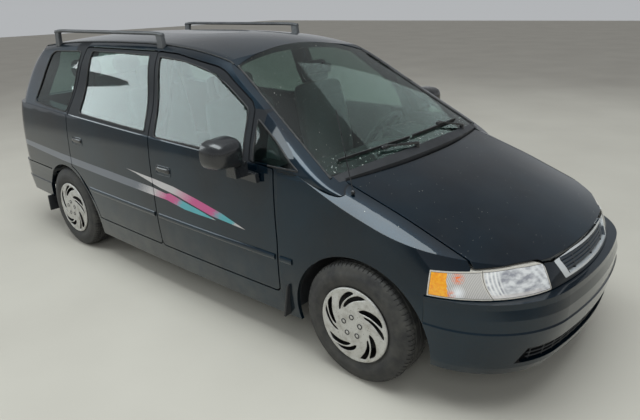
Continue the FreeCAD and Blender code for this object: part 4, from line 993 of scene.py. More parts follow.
def slotted_cover(swirl):
    """One fifth of the cover from a grid with two slots, repeated round the axle."""
    bm = bmesh.new()
    rings = len(COVER_RINGS) - 1
    columns = len(COVER_COLUMNS) - 1
    bmesh.ops.create_grid(bm, x_segments=rings, y_segments=columns, size=1.0)
    for vert in bm.verts:
        vert.co.x = (vert.co.x + 1) / 2 * rings
        vert.co.y = (vert.co.y + 1) / 2 * columns
    holes = []
    for face in bm.faces:
        middle = face.calc_center_median()
        in_ring = SLOT_RINGS[0] < middle.x < SLOT_RINGS[1]
        if in_ring and any(start < middle.y < end for start, end in SLOT_COLUMNS):
            holes.append(face)
    bmesh.ops.delete(bm, geom=holes, context="FACES")
    for vert in bm.verts:
        vert.co = swirled(vert.co, swirl)
    bmesh.ops.spin(bm, geom=bm.verts[:] + bm.edges[:] + bm.faces[:], cent=(0, 0, 0), axis=(0, 1, 0),
                   angle=-math.tau * (1 - 1 / COVER_PARTS), steps=COVER_PARTS - 1, use_duplicate=True)
    bmesh.ops.remove_doubles(bm, verts=bm.verts, dist=0.0002)
    bmesh.ops.dissolve_degenerate(bm, edges=bm.edges, dist=0.0001)
    return bm


class MINIVAN_OT_covers(bpy.types.Operator):
    """Model the wheel covers, the rims behind them and the bolt dimples"""

    bl_idname = "minivan.covers"
    bl_label = "Wheel covers"

    def execute(self, context):
        sizes = context.scene.minivan_sizes
        for corner in CORNERS:
            wheel = "wheel_" + corner
            low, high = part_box("tyre_" + corner)
            centre = (low + high) / 2
            sign = 1 if centre.y > 0 else -1
            bm = slotted_cover(sizes.cover_swirl)
            turn = Matrix.Rotation(math.pi, 4, "Z") if sign < 0 else Matrix.Identity(4)
            bmesh.ops.transform(bm, matrix=Matrix.Translation(centre) @ turn, verts=bm.verts)
            bmesh.ops.recalc_face_normals(bm, faces=bm.faces)
            if sum(face.normal.y * face.calc_area() for face in bm.faces) * sign < 0:
                bmesh.ops.reverse_faces(bm, faces=bm.faces)
            cover = piece("cover_" + corner, bm, wheel, "cover_silver", 60, None)
            modifier(cover, "SOLIDIFY", thickness=sizes.cover_wall, offset=-1.0)
            modifier(cover, "SUBSURF", levels=2, render_levels=2)
            rim = bmesh.new()
            add_spun(rim, RIM, centre, 96, sign)
            back = piece("rim_" + corner, rim, wheel, "dark_steel")
            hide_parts("wheel_" + corner)
            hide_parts("wheel_" + corner)
            dimples = bmesh.new()
            caps = bmesh.new()
            for step in range(COVER_PARTS):
                turn = math.tau * step / COVER_PARTS + FIRST_BOLT
                spot = centre + Vector((BOLT_CIRCLE * math.cos(turn), 0, BOLT_CIRCLE * math.sin(turn)))
                add_spun(dimples, DIMPLE, spot, 24, sign)
                add_spun(caps, BOLT_CAP, spot, 20, sign)
            piece("dimples_" + corner, dimples, wheel, "black_plastic")
            piece("bolt_caps_" + corner, caps, wheel, "cover_silver")
        return {"FINISHED"}


# Body, solid and outline of each side window. The names that end in an underscore take the side.
WINDOWS = {
    "front": ("front_door_", "door_front_", [
        (0.722, 1.062, 0.015), (0.670, 1.296, 0.025), (0.381, 1.456, 0.25), (0.060, 1.516, 0.3),
        (-0.169, 1.529, 0.02), (-0.088, 1.068, 0.02)]),
    "rear": ("rear_door_", "door_rear_", [
        (-0.201, 1.085, 0.02), (-0.283, 1.534, 0.02), (-1.012, 1.534, 0.025), (-1.060, 1.110, 0.025)]),
    "quarter": ("body", "side_frame_", [
        (-1.262, 1.098, 0.04), (-1.167, 1.528, 0.04), (-1.629, 1.512, 0.05), (-1.779, 1.293, 0.2),
        (-1.839, 1.124, 0.04)]),
    "corner": ("body", "side_frame_", [
        (1.118, 1.046, 0.012), (0.806, 1.050, 0.012), (0.762, 1.250, 0.012)]),
}
TAIL_WINDOW = [(-0.604, 1.101, 0.05), (-0.534, 1.514, 0.05), (0.534, 1.514, 0.05), (0.604, 1.101, 0.05)]
SEAL_OFFSET = 0.004
SEAL_GAP = 0.03
SCREEN_LINE = (Vector((1.272, 0.7625)), Vector((0.455, 0.588)))
ROOF_SEAM = 0.602
ROOF_SEAM_FRONT = 0.44
ROOF_SEAM_STEP = 0.0387
ROOF_SEAL = 0.0045
SCREEN_SEAL = 0.007
TAIL_SEAL = 0.006


class MINIVAN_OT_seals(bpy.types.Operator):
    """Lay the black rubber round the windows, the screen and along the roof"""

    bl_idname = "minivan.seals"
    bl_label = "Seals"

    def execute(self, context):
        radius = context.scene.minivan_sizes.seal_radius
        for hand, sign in SIDES:
            for key, (body, node, outline) in WINDOWS.items():
                skin = skin_of(node + hand)
                line = rounded_path(outline)
                centre = middle_of(line)
                points = []
                for spot in dense(line, SEAL_GAP):
                    place = spot + (spot - centre).normalized() * SEAL_OFFSET
                    hit = seen_from_side(skin, place.x, place.y, sign)
                    if hit is not None and abs(hit.y) > 0.45:
                        points.append(hit)
                bead(f"seal_{key}_{hand}", points, radius, body if body == "body" else body + hand, True)
            roof = skin_of("roof_panel", "side_frame_" + hand)
            line = [on_top(roof, ROOF_SEAM_FRONT - ROOF_SEAM_STEP * step, sign * ROOF_SEAM, 0.0005)
                    for step in range(61)]
            bead("roof_seal_" + hand, line, ROOF_SEAL, "body")
            screen = skin_of("windscreen", "side_frame_" + hand, "cowl")
            edge = []
            for step in range(31):
                x, y = SCREEN_LINE[0].lerp(SCREEN_LINE[1], step / 30)
                edge.append(on_top(screen, x, sign * y, 0.001))
            bead("screen_seal_" + hand, edge, SCREEN_SEAL, "body")
        tail = skin_of("tailgate")
        hits = [seen_from_behind(tail, spot.x, spot.y) for spot in dense(rounded_path(TAIL_WINDOW), SEAL_GAP)]
        points = [hit for hit in hits if hit is not None and hit.x < -1.6]
        bead("seal_tail", points, TAIL_SEAL, "tailgate_lid", True)
        return {"FINISHED"}


# Section of the rub strip as (up, out).
STRIP = [(-0.016, -0.004), (-0.016, 0.004), (-0.012, 0.0072), (-0.003, 0.009), (0.003, 0.009),
         (0.012, 0.0072), (0.016, 0.004), (0.016, -0.004)]
STRIP_HEIGHT = 0.552
STRIP_SLOPE = -0.0035
FLAP_HINGE = Vector((1.04, 0, 0.40))


class MINIVAN_OT_mouldings(bpy.types.Operator):
    """Fit the rub strips low on the doors, and the mudflaps"""

    bl_idname = "minivan.mouldings"
    bl_label = "Side mouldings"

    def execute(self, context):
        for hand, sign in SIDES:
            for part, body, node, start, end in (
                    ("front", "front_door_" + hand, "door_front_" + hand, 0.955, -0.085),
                    ("rear", "rear_door_" + hand, "door_rear_" + hand, -0.135, -0.985),
                    ("fender", "body", "fender_" + hand, 1.075, 0.992)):
                tree = skin_of(node)
                places = []
                count = max(3, int(abs(start - end) / 0.05))
                for step in range(count + 1):
                    x = start + (end - start) * step / count
                    z = STRIP_HEIGHT + STRIP_SLOPE * x
                    here = seen_from_side(tree, x, z, sign)
                    up = (seen_from_side(tree, x, z + 0.015, sign) - here).normalized()
                    places.append((here, up, outer_normal(Vector((1, 0, 0)), up, sign)))
                bm = bmesh.new()
                add_loft(bm, strip_rings(places, STRIP))
                piece(f"rub_strip_{part}_{hand}", bm, body, "bumper_paint")
            flaps = bmesh.new()
            front = add_block(flaps, (1.030, sign * 0.740, 0.195), (1.045, sign * 0.872, 0.400), 0.006)
            bmesh.ops.rotate(flaps, cent=FLAP_HINGE, matrix=Matrix.Rotation(math.radians(9), 3, "Y"),
                             verts=front)
            add_block(flaps, (-1.815, sign * 0.745, 0.195), (-1.800, sign * 0.868, 0.330), 0.006)
            piece("mudflaps_" + hand, flaps, "body", "black_plastic")
        return {"FINISHED"}


HANDLES = (("front", 0.010, 0.868), ("rear", -1.085, 0.905))
DISH = [(-0.078, -0.030, 0.022), (-0.078, 0.030, 0.022), (0.078, 0.030, 0.022), (0.078, -0.030, 0.022)]
# Rings of the dish as (share of its outline, out), from its rim to its floor.
DISH_RINGS = ((1.0, -0.004), (1.0, 0.0016), (0.95, 0.0024), (0.90, 0.0012), (0.84, -0.006), (0.62, -0.013))
# Section of the lever as (up, out).
LEVER = [(-0.013, 0.000), (-0.014, 0.006), (-0.009, 0.0105), (0.009, 0.0115), (0.015, 0.008), (0.016, 0.001)]
LEVER_HALF = 0.066
LEVER_BOW = 0.0045


class MINIVAN_OT_handles(bpy.types.Operator):
    """Set the door handles into their dished plates"""

    bl_idname = "minivan.handles"
    bl_label = "Door handles"

    def execute(self, context):
        outline = rounded_path(DISH, 6)
        for hand, sign in SIDES:
            for part, x, z in HANDLES:
                tree = skin_of(f"door_{part}_{hand}")
                here, above, below, front, rear = (
                    seen_from_side(tree, x + dx, z + dz, sign)
                    for dx, dz in ((0, 0), (0, 0.03), (0, -0.03), (0.05, 0), (-0.05, 0)))
                up = (above - below).normalized()
                ahead = (front - rear).normalized()
                turn = Matrix((ahead, up, outer_normal(ahead, up, sign))).transposed().to_4x4()
                place = Matrix.Translation(here) @ turn
                dish = bmesh.new()
                rings = [[(*(spot * shrink), proud) for spot in outline] for shrink, proud in DISH_RINGS]
                add_loft(dish, rings, filled=(-1,))
                bmesh.ops.transform(dish, matrix=place, verts=dish.verts)
                body = f"{part}_door_{hand}"
                piece(f"handle_dish_{part}_{hand}", dish, body, "bumper_paint")
                lever = bmesh.new()
                places = []
                for step in range(13):
                    share = step / 12 * 2 - 1
                    bow = LEVER_BOW * (1 - share ** 4)
                    width = 1.0 if abs(share) < 0.95 else 0.86
                    spot = Vector((LEVER_HALF * share, 0.004, bow - 0.004))
                    places.append((spot, Vector((0, width, 0)), Vector((0, 0, 1))))
                add_loft(lever, strip_rings(places, LEVER))
                bmesh.ops.transform(lever, matrix=place, verts=lever.verts)
                obj = piece(f"handle_lever_{part}_{hand}", lever, body, "glossy_black")
                soften(obj, 0.0012, 2)
        return {"FINISHED"}


# Name, pivot, end of the arm and the two ends of the blade of each front wiper, as (x, y).
WIPERS = (
    ("driver", (1.305, 0.520), (1.262, 0.300), Vector((1.232, 0.560)), Vector((1.283, -0.040))),
    ("passenger", (1.345, -0.090), (1.290, -0.330), Vector((1.283, -0.075)), Vector((1.220, -0.640))))
BLADE_BOW = 0.012
# Section of a blade as (along the car, up), from the rubber's edge and back to it.
BLADE = ((-0.002, 0.002), (-0.005, 0.012), (-0.008, 0.017), (0.008, 0.019), (0.005, 0.012), (0.002, 0.002))
REAR_BLADE = ((-0.002, -0.002), (-0.012, -0.005), (-0.017, -0.008), (-0.019, 0.008), (-0.012, 0.005),
              (-0.002, 0.002))
# Share of the arm's length, half its width and half its thickness there.
ARM = ((0.0, 0.011, 0.006), (0.2, 0.012, 0.007), (0.45, 0.009, 0.006), (1.0, 0.005, 0.004))
REAR_HUB = 1.075


def section_at(place, section):
    """Ring of a section that lies in the car's length and height."""
    return [place + Vector((dx, 0, dz)) for dx, dz in section]


class MINIVAN_OT_wipers(bpy.types.Operator):
    """Park the two wipers at the foot of the screen, and the one at the back"""

    bl_idname = "minivan.wipers"
    bl_label = "Wipers"

    def execute(self, context):
        screen = skin_of("windscreen", "cowl")
        for name, pivot, tip, start, end in WIPERS:
            blade = bmesh.new()
            rings = []
            for step in range(19):
                x, y = start.lerp(end, step / 18)
                x += BLADE_BOW * math.sin(math.pi * step / 18)
                rings.append(section_at(on_top(screen, x, y), BLADE))
            add_loft(blade, rings)
            piece("wiper_blade_" + name, blade, "body", "seal_rubber")
            arm = bmesh.new()
            foot = on_top(screen, *pivot)
            knee = on_top(screen, *tip, 0.030)
            add_rod(arm, foot + Vector((0, 0, -0.012)), foot + Vector((0, 0, 0.026)), 0.015, 24, 0.012)
            lift = foot + Vector((0, 0, 0.020))
            rings = []
            for share, half, thick in ARM:
                section = ((-half, -thick), (-half, thick), (half, thick), (half, -thick))
                rings.append(section_at(lift.lerp(knee, share), section))
            add_loft(arm, rings)
            add_block(arm, knee + Vector((-0.008, -0.030, -0.014)), knee + Vector((0.008, 0.030, 0.003)),
                      0.003, 2)
            obj = piece("wiper_arm_" + name, arm, "body", "glossy_black")
            soften(obj, 0.0015, 2)
        tail = skin_of("tailgate", "tailgate_glass")
        rear = bmesh.new()
        rings = []
        for step in range(13):
            hit = seen_from_behind(tail, -0.20 + 0.42 * step / 12, 1.150 + 0.016 * step / 12)
            rings.append(section_at(hit, REAR_BLADE))
        add_loft(rear, rings)
        hub = seen_from_behind(tail, 0.0, REAR_HUB)
        add_rod(rear, hub + Vector((0.004, 0, 0)), hub + Vector((-0.022, 0, 0)), 0.020, 28, 0.016)
        back = rings[6][2].x
        add_block(rear, (min(hub.x, back) - 0.022, -0.009, REAR_HUB), (back + 0.002, 0.009, 1.162), 0.004, 2)
        piece("wiper_rear", rear, "tailgate_lid", "black_plastic")
        return {"FINISHED"}


MIRROR_BASE = 1.034
MIRROR_INNER = 0.905
# Depth from the shell's rear and share of its outline, from the recess behind the glass to the nose.
MIRROR_RINGS = ((0.012, 0.88), (0.010, 0.935), (0.000, 0.965), (0.003, 1.0), (0.030, 1.0), (0.075, 0.95),
                (0.105, 0.82), (0.122, 0.60), (0.128, 0.34))
MIRROR_GLASS_RINGS = ((0.0085, 0.90), (0.011, 0.90))
# The arm's foot on the door and its upright, each as (x, height) points and the places across.
MIRROR_FEET = (
    (((0.728, 0.956), (0.735, 1.006), (0.860, 1.000), (0.868, 0.952)), (0.858, 0.885)),
    (((0.735, 0.985), (0.735, 1.062), (0.800, 1.062), (0.812, 0.985)), (0.880, 0.925, 0.970)))


def drawn_rings(outline, middle, rear, sign, stations):
    """Rings of an outline that is drawn towards its middle by a share at each depth."""
    rings = []
    for depth, share in stations:
        ring = [middle + (spot - middle) * share for spot in outline]
        rings.append([Vector((rear + depth, sign * spot.x, spot.y)) for spot in ring])
    return rings


class MINIVAN_OT_mirrors(bpy.types.Operator):
    """Model the mirrors' glass and rounded shells"""

    bl_idname = "minivan.mirrors"
    bl_label = "Mirrors"

    def execute(self, context):
        for hand, sign in SIDES:
            low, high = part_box("mirror_" + hand)
            reach = max(abs(low.y), abs(high.y))
            outline = rounded_path([
                (MIRROR_INNER, MIRROR_BASE, 0.045), (MIRROR_INNER, high.z - 0.004, 0.060),
                (reach - 0.002, high.z - 0.012, 0.070), (reach - 0.004, MIRROR_BASE + 0.020, 0.060)], 7)
            middle = middle_of(outline)
            shell = bmesh.new()
            add_loft(shell, drawn_rings(outline, middle, low.x, sign, MIRROR_RINGS))
            for section, places in MIRROR_FEET:
                add_loft(shell, [[Vector((x, sign * y, z)) for x, z in section] for y in places])
            body = "front_door_" + hand
            obj = piece("mirror_shell_" + hand, shell, body, "glossy_black")
            soften(obj, 0.003, 3, 50)
            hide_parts("mirror_" + hand)
            glass = bmesh.new()
            add_loft(glass, drawn_rings(outline, middle, low.x, sign, MIRROR_GLASS_RINGS))
            piece("mirror_glass_" + hand, glass, body, "mirror_face")
        return {"FINISHED"}


RAIL_Y = 0.622
RAIL_HALVES = (0.016, 0.012)
RAIL_MIDDLE = (-1.20, -0.90, -0.60)
# Distance from the rail's end and how far the rail drops there.
RAIL_ENDS = ((0.012, 0.012), (0.06, 0.003), (0.14, 0.0))
# Shares of the foot's height at which its rings lie.
FOOT_SHARES = (0.0, 0.3, 0.6, 0.85, 1.0)


class MINIVAN_OT_rack(bpy.types.Operator):
    """Model the roof rails with their swept feet"""

    bl_idname = "minivan.rack"
    bl_label = "Roof rails"

    def execute(self, context):
        low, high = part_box("roof_rails")
        top = high.z - 0.015
        section = []
        for step in range(16):
            turn = math.tau * step / 16
            section.append(Vector((0, RAIL_HALVES[0] * math.cos(turn), RAIL_HALVES[1] * math.sin(turn))))
        stations = [(low.x + inset, drop) for inset, drop in RAIL_ENDS]
        stations += [(x, 0.0) for x in RAIL_MIDDLE]
        stations += [(high.x - inset, drop) for inset, drop in reversed(RAIL_ENDS)]
        for hand, sign in SIDES:
            roof = skin_of("roof_panel", "side_frame_" + hand)
            y = sign * RAIL_Y
            bm = bmesh.new()
            add_loft(bm, [[Vector((x, y, top - drop)) + spot for spot in section] for x, drop in stations])
            for start, lean in ((low.x, 1), (high.x, -1)):
                rings = []
                for share in FOOT_SHARES:
                    near = start + (0.004 + 0.010 * share) * lean
                    far = start + (0.070 + 0.020 * share ** 3) * lean
                    half = 0.016 - 0.004 * share
                    ring = []
                    for x, side in ((near, -1), (far, -1), (far, 1), (near, 1)):
                        foot = on_top(roof, x, y + side * half).z - 0.002
                        ring.append(Vector((x, y + side * half, foot + (top + 0.004 - foot) * share)))
                    rings.append(ring)
                add_loft(bm, rings)
            obj = piece("rack_rail_" + hand, bm, "body", "rack_grey")
            soften(obj, 0.006, 3, 40)
            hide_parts("roof_rails")
        return {"FINISHED"}


def pad(bm, centre, size, turn, crown, cuts=18, grooves=(), depth=0.0, bow=0.06):
    """A crowned pad with rounded sides. A groove is a sewn channel: its axis, place and half width."""
    made = bmesh.ops.create_cube(bm, size=2.0)["verts"]
    edges = list({edge for vert in made for edge in vert.link_edges})
    bmesh.ops.subdivide_edges(bm, edges=edges, cuts=cuts, use_grid_fill=True)
    spin = Matrix.Rotation(turn, 3, "Y")
    for vert in [vert for vert in bm.verts if not vert.tag]:
        u, v, w = vert.co
        round_u = 1 - 0.10 * (abs(w) ** 3) - 0.05 * (abs(v) ** 4)
        round_v = 1 - 0.08 * (abs(w) ** 3) - bow * (abs(u) ** 3)
        swell = 1 + crown * (1 - u ** 2) * (1 - v ** 2)
        edge = max(abs(u), abs(v)) ** 8
        height = w * swell * (1 - 0.32 * edge)
        for axis, place, width in grooves:
            near = abs((u, v)[axis] - place) / width
            if w > 0.6 and near < 1:
                height -= depth / size[2] * 2 * (1 - near) ** 2
        local = Vector((u * round_u * size[0] / 2, v * round_v * size[1] / 2, height * size[2] / 2))
        vert.co = Vector(centre) + spin @ local
        vert.tag = True


SEAT_BASE = 0.550
# Name, solid, x, the two sides, height of the plinth's foot and number of places.
SEATS = (
    ("front_left", "front_seats", 0.320, (0.140, 0.660), 0.270, 1),
    ("front_right", "front_seats", 0.320, (-0.660, -0.140), 0.270, 1),
    ("middle_left", "middle_seats", -0.620, (0.100, 0.620), 0.270, 1),
    ("middle_right", "middle_seats", -0.620, (-0.620, -0.100), 0.270, 1),
    ("rear", "rear_bench", -1.560, (-0.560, 0.560), 0.400, 3))
CUSHION_GROOVES = [(1, -0.62, 0.07), (1, 0.62, 0.07), (0, 0.15, 0.05), (0, -0.30, 0.05)]
BACK_GROOVES = [(1, -0.60, 0.07), (1, 0.60, 0.07), (0, 0.25, 0.05), (0, -0.30, 0.05)]
BENCH_GROOVES = [(1, -0.34, 0.03), (1, 0.34, 0.03), (0, 0.1, 0.05)]
GROOVE_DEPTH = 0.022
CUSHION_LENGTH = 0.56
CUSHION_DEPTH = 0.155
CUSHION_LEAN = -math.radians(4)
BACK_LENGTH = 0.66
BACK_DEPTH = 0.135
BACK_LEAN = -math.radians(90 + 14)
HEADREST = (0.150, 0.250, 0.085)
HEADREST_LEAN = -math.radians(100)
POST_PLACES = (-0.055, 0.055)
POST_RADIUS = 0.006


class MINIVAN_OT_seats(bpy.types.Operator):
    """Model the cloth seats as sewn pads on plastic plinths"""

    bl_idname = "minivan.seats"
    bl_label = "Seats"

    def execute(self, context):
        for name, node, x, (near, far), ground, places in SEATS:
            middle = (near + far) / 2
            width = far - near - 0.01
            single = places == 1
            cushion = bmesh.new()
            pad(cushion, (x + 0.200, middle, SEAT_BASE + 0.073), (CUSHION_LENGTH, width, CUSHION_DEPTH),
                CUSHION_LEAN, 0.10, grooves=CUSHION_GROOVES if single else BENCH_GROOVES,
                depth=GROOVE_DEPTH, bow=0.04)
            back = bmesh.new()
            pad(back, (x - 0.060, middle, SEAT_BASE + 0.08 + BACK_LENGTH / 2),
                (BACK_LENGTH, width * 0.97, BACK_DEPTH), BACK_LEAN, 0.08,
                grooves=BACK_GROOVES if single else BENCH_GROOVES, depth=GROOVE_DEPTH, bow=0.10)
            heads = bmesh.new()
            posts = bmesh.new()
            spread = width * 0.34
            for y in [middle] if single else [middle - spread, middle, middle + spread]:
                pad(heads, (x - 0.150, y, SEAT_BASE + 0.800), HEADREST, HEADREST_LEAN, 0.22, cuts=8, bow=0.20)
                for side in POST_PLACES:
                    add_rod(posts, (x - 0.148, y + side, SEAT_BASE + 0.62),
                            (x - 0.152, y + side, SEAT_BASE + 0.79), POST_RADIUS, 12)
            for part, bm in (("cushion", cushion), ("backrest", back), ("headrest", heads)):
                obj = piece(f"{part}_{name}", bm, "body", "seat_cloth")
                modifier(obj, "SUBSURF", levels=1, render_levels=1)
                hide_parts(node)
            piece(f"headrest_posts_{name}", posts, "body", "chrome_bright")
            plinth = bmesh.new()
            add_block(plinth, (x - 0.060, near + 0.02, ground), (x + 0.350, far - 0.02, SEAT_BASE + 0.02),
                      0.03, 4)
            piece(f"seat_plinth_{name}", plinth, "body", "black_plastic")
        return {"FINISHED"}


HAND_WHEEL = Vector((0.790, 0.390, 0.945))
HAND_WHEEL_LEAN = math.radians(62)
RIM_RADIUS = 0.185
RIM_HALVES = (0.014, 0.0125)
# Outline of the hub, and its rings as (height, share of the outline).
HUB = [(-0.070, -0.055, 0.03), (-0.060, 0.062, 0.04), (0.060, 0.062, 0.04), (0.070, -0.055, 0.03)]
HUB_RINGS = ((-0.028, 0.75), (-0.022, 1.0), (0.004, 1.0), (0.014, 0.90), (0.018, 0.6))
SPOKE_ANGLES = (12, 168, -50, -130)
# Sections of a spoke as (distance from the hub's middle, height).
SPOKE_RINGS = ((0.045, -0.004), (0.110, -0.012), (0.150, -0.008), (0.183, 0.0))
# Hood over the instruments as (across, height, rounding), and its rings as (x, share, drop).
CLUSTER = [(0.205, 0.955, 0.02), (0.225, 1.035, 0.05), (0.555, 1.035, 0.05), (0.575, 0.955, 0.02)]
CLUSTER_RINGS = ((0.905, 1.0, 0.0), (0.935, 1.0, 0.0), (1.000, 0.96, 0.010), (1.060, 0.90, 0.045))
VENTS = (-0.50, -0.06, 0.10, 0.66)
VENT_HALF = 0.062
# Outline of the inside mirror as (across, height, rounding), and its rings as (depth, share).
INSIDE_MIRROR = [(-0.118, 1.395, 0.03), (-0.118, 1.452, 0.02), (0.118, 1.452, 0.02), (0.118, 1.395, 0.03)]
INSIDE_MIRROR_REAR = 0.545
INSIDE_MIRROR_MIDDLE = Vector((0, 1.4235))
INSIDE_MIRROR_RINGS = ((0.0, 0.97), (0.004, 1.0), (0.014, 0.98), (0.026, 0.80), (0.034, 0.45))


def hand_wheel():
    """Steering wheel in its own frame, with the rim round Z."""
    bm = bmesh.new()
    section = []
    for step in range(14):
        turn = math.tau * step / 14
        section.append((RIM_RADIUS + RIM_HALVES[0] * math.cos(turn), 0, RIM_HALVES[1] * math.sin(turn)))
    edges = station_ring(bm, section)
    bmesh.ops.spin(bm, geom=bm.verts[:] + edges, cent=(0, 0, 0), axis=(0, 0, 1), angle=math.tau, steps=72,
                   use_merge=True)
    hub = rounded_path(HUB)
    add_loft(bm, [[Vector((spot.y * share, spot.x * share, up)) for spot in hub] for up, share in HUB_RINGS])
    tall = Vector((0, 0, 0.006))
    for angle in SPOKE_ANGLES:
        direction = Matrix.Rotation(math.radians(angle), 3, "Z") @ Vector((0, 1, 0))
        across = direction.cross(Vector((0, 0, 1))) * 0.017
        rings = []
        for reach, sink in SPOKE_RINGS:
            spot = direction * reach + Vector((0, 0, sink))
            rings.append([spot - across - tall, spot + across - tall, spot + across * 0.8 + tall,
                          spot - across * 0.8 + tall])
        add_loft(bm, rings)
    return bm


class MINIVAN_OT_cabin(bpy.types.Operator):
    """Model the steering wheel, the instruments and the inside mirror"""

    bl_idname = "minivan.cabin"
    bl_label = "Cabin"

    def execute(self, context):
        wheel = hand_wheel()
        turn = Matrix.Translation(HAND_WHEEL) @ Matrix.Rotation(-HAND_WHEEL_LEAN, 4, "Y")
        bmesh.ops.transform(wheel, matrix=turn, verts=wheel.verts)
        obj = piece("hand_wheel_rim", wheel, "hand_wheel", "dash_plastic")
        soften(obj, 0.003, 2)
        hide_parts("steering_wheel")
        trim = bmesh.new()
        cluster = rounded_path(CLUSTER, 6)
        rings = []
        for x, share, drop in CLUSTER_RINGS:
            aside = HAND_WHEEL.y * (1 - share)
            rings.append([Vector((x, spot.x * share + aside, spot.y - drop)) for spot in cluster])
        add_loft(trim, rings)
        for y in VENTS:
            add_block(trim, (0.868, y - VENT_HALF, 0.880), (0.912, y + VENT_HALF, 0.945), 0.008)
        add_block(trim, (0.872, -0.105, 0.70), (0.925, 0.125, 0.865), 0.010)
        piece("dash_trim", trim, "body", "black_plastic")
        mirror = bmesh.new()
        add_loft(mirror, drawn_rings(rounded_path(INSIDE_MIRROR), INSIDE_MIRROR_MIDDLE, INSIDE_MIRROR_REAR, 1,
                                     INSIDE_MIRROR_RINGS))
        add_rod(mirror, (0.565, 0, 1.430), (0.590, 0, 1.470), 0.008, 16)
        piece("inside_mirror", mirror, "body", "black_plastic")
        return {"FINISHED"}


MESH_HALF = 0.575
MESH_STEPS = 48
MESH_ROWS = (-0.022, 0.0, 0.022)
MESH_UPRIGHTS = 17
MESH_PITCH = 0.07
PLATE_HALF = 0.157
PLATE_HEIGHTS = (0.712, 0.868)


class MINIVAN_OT_bumper_lines(bpy.types.Operator):
    """Set the mesh in the front bumper's slot, and fit the blank plate behind"""

    bl_idname = "minivan.bumper_lines"
    bl_label = "Bumper details"

    def execute(self, context):
        front = skin_of("front_bumper")
        mesh = bmesh.new()
        middle = (INTAKE_LOW + INTAKE_HIGH) / 2

        def in_slot(y, z):
            """Point just ahead of the slot's back wall."""
            return seen(front, (3.2, y, z), (-1, 0, 0)) + Vector((0.006, 0, 0))

        for z in (middle + row for row in MESH_ROWS):
            for index in range(MESH_STEPS):
                y, beyond = (-MESH_HALF + 2 * MESH_HALF * step / MESH_STEPS for step in (index, index + 1))
                add_rod(mesh, in_slot(y, z), in_slot(beyond, z), 0.0035, 8)
        for index in range(MESH_UPRIGHTS):
            y = MESH_PITCH * (index - (MESH_UPRIGHTS - 1) / 2)
            add_rod(mesh, in_slot(y, INTAKE_LOW + 0.004), in_slot(y, INTAKE_HIGH - 0.004), 0.003, 8)
        piece("intake_mesh", mesh, "body", "black_plastic")
        gate = skin_of("tailgate")
        spots = [(y, z) for y in (-PLATE_HALF, PLATE_HALF) for z in PLATE_HEIGHTS] + [(0.0, 0.79)]
        rear_x = min(seen_from_behind(gate, y, z).x for y, z in spots)
        plate = bmesh.new()
        add_block(plate, (rear_x - 0.006, -0.152, 0.714), (rear_x - 0.003, 0.152, 0.866), 0.001, 2)
        piece("plate_rear", plate, "tailgate_lid", "plate_blank")
        housing = bmesh.new()
        add_block(housing, (rear_x - 0.003, -0.175, 0.698), (rear_x + 0.020, 0.175, 0.884), 0.003)
        add_block(housing, (rear_x - 0.024, -0.23, 0.886), (rear_x + 0.014, 0.23, 0.916), 0.007, 4)
        piece("plate_housing", housing, "tailgate_lid", "black_plastic")
        return {"FINISHED"}


# Brightness of the sky by the height of the direction, from the horizon to straight up.
SKY = ((0.0, 0.46), (0.12, 0.42), (0.30, 0.26), (0.78, 0.26), (0.92, 0.8), (1.0, 0.9))
# Name, place, aim, width, depth, power, and whether the paint mirrors the lamp.
LAMPS = (
    ("top", (1.2, -1.3, 6.2), (1.2, -1.0, 0.0), 6.5, 3.0, 290.0, True),
    ("fill", (-6.9, -5.0, 4.6), (-0.5, 0, 1.0), 4.3, 4.5, 220.0, True),
    ("key", (5.0, -6.5, 4.5), (0.4, 0, 0.7), 4.0, 4.0, 160.0, False),
    ("far", (1.0, 7.0, 5.5), (0, 0, 0.8), 5.0, 5.0, 120.0, False))
CAMERA_PLACE = (2.9341, -2.7520, 1.8361)
# Yaw, pitch and roll of the photo's camera, in degrees.
CAMERA_TURN = (-41.16, -20.65, -1.65)
CAMERA_LENS = 31.35


def lay_floor():
    grid = bmesh.new()
    bmesh.ops.create_grid(grid, x_segments=1, y_segments=1, size=40.0)
    mesh = bpy.data.meshes.new("floor")
    grid.to_mesh(mesh)
    grid.free()
    floor = bpy.data.objects.new("floor", mesh)
    bpy.context.scene.collection.objects.link(floor)
    f = Finish("floor_pale")
    tone = f.spots(0.8, 4.0, 0.3, 0.7)
    f.set(Base_Color=f.mix(tone, (0.47, 0.44, 0.385), (0.52, 0.49, 0.43)), Roughness=0.85)
    mesh.materials.append(f.material)


def light_sky():
    """A soft sky that is brightest near the horizon and straight up."""
    world = bpy.data.worlds.new("soft_sky")
    bpy.context.scene.world = world
    world.use_nodes = True
    tree = world.node_tree
    tree.nodes.clear()
    output = tree.nodes.new("ShaderNodeOutputWorld")
    sky = tree.nodes.new("ShaderNodeBackground")
    sky.inputs[1].default_value = 1.0
    coordinates = tree.nodes.new("ShaderNodeTexCoord")
    split = tree.nodes.new("ShaderNodeSeparateXYZ")
    ramp = tree.nodes.new("ShaderNodeValToRGB")
    fill_ramp(ramp.color_ramp.elements, [(place, (tone * 0.97, tone, tone * 1.03)) for place, tone in SKY])
    tree.links.new(coordinates.outputs["Generated"], split.inputs[0])
    tree.links.new(split.outputs["Z"], ramp.inputs[0])
    tree.links.new(ramp.outputs[0], sky.inputs[0])
    tree.links.new(sky.outputs[0], output.inputs[0])


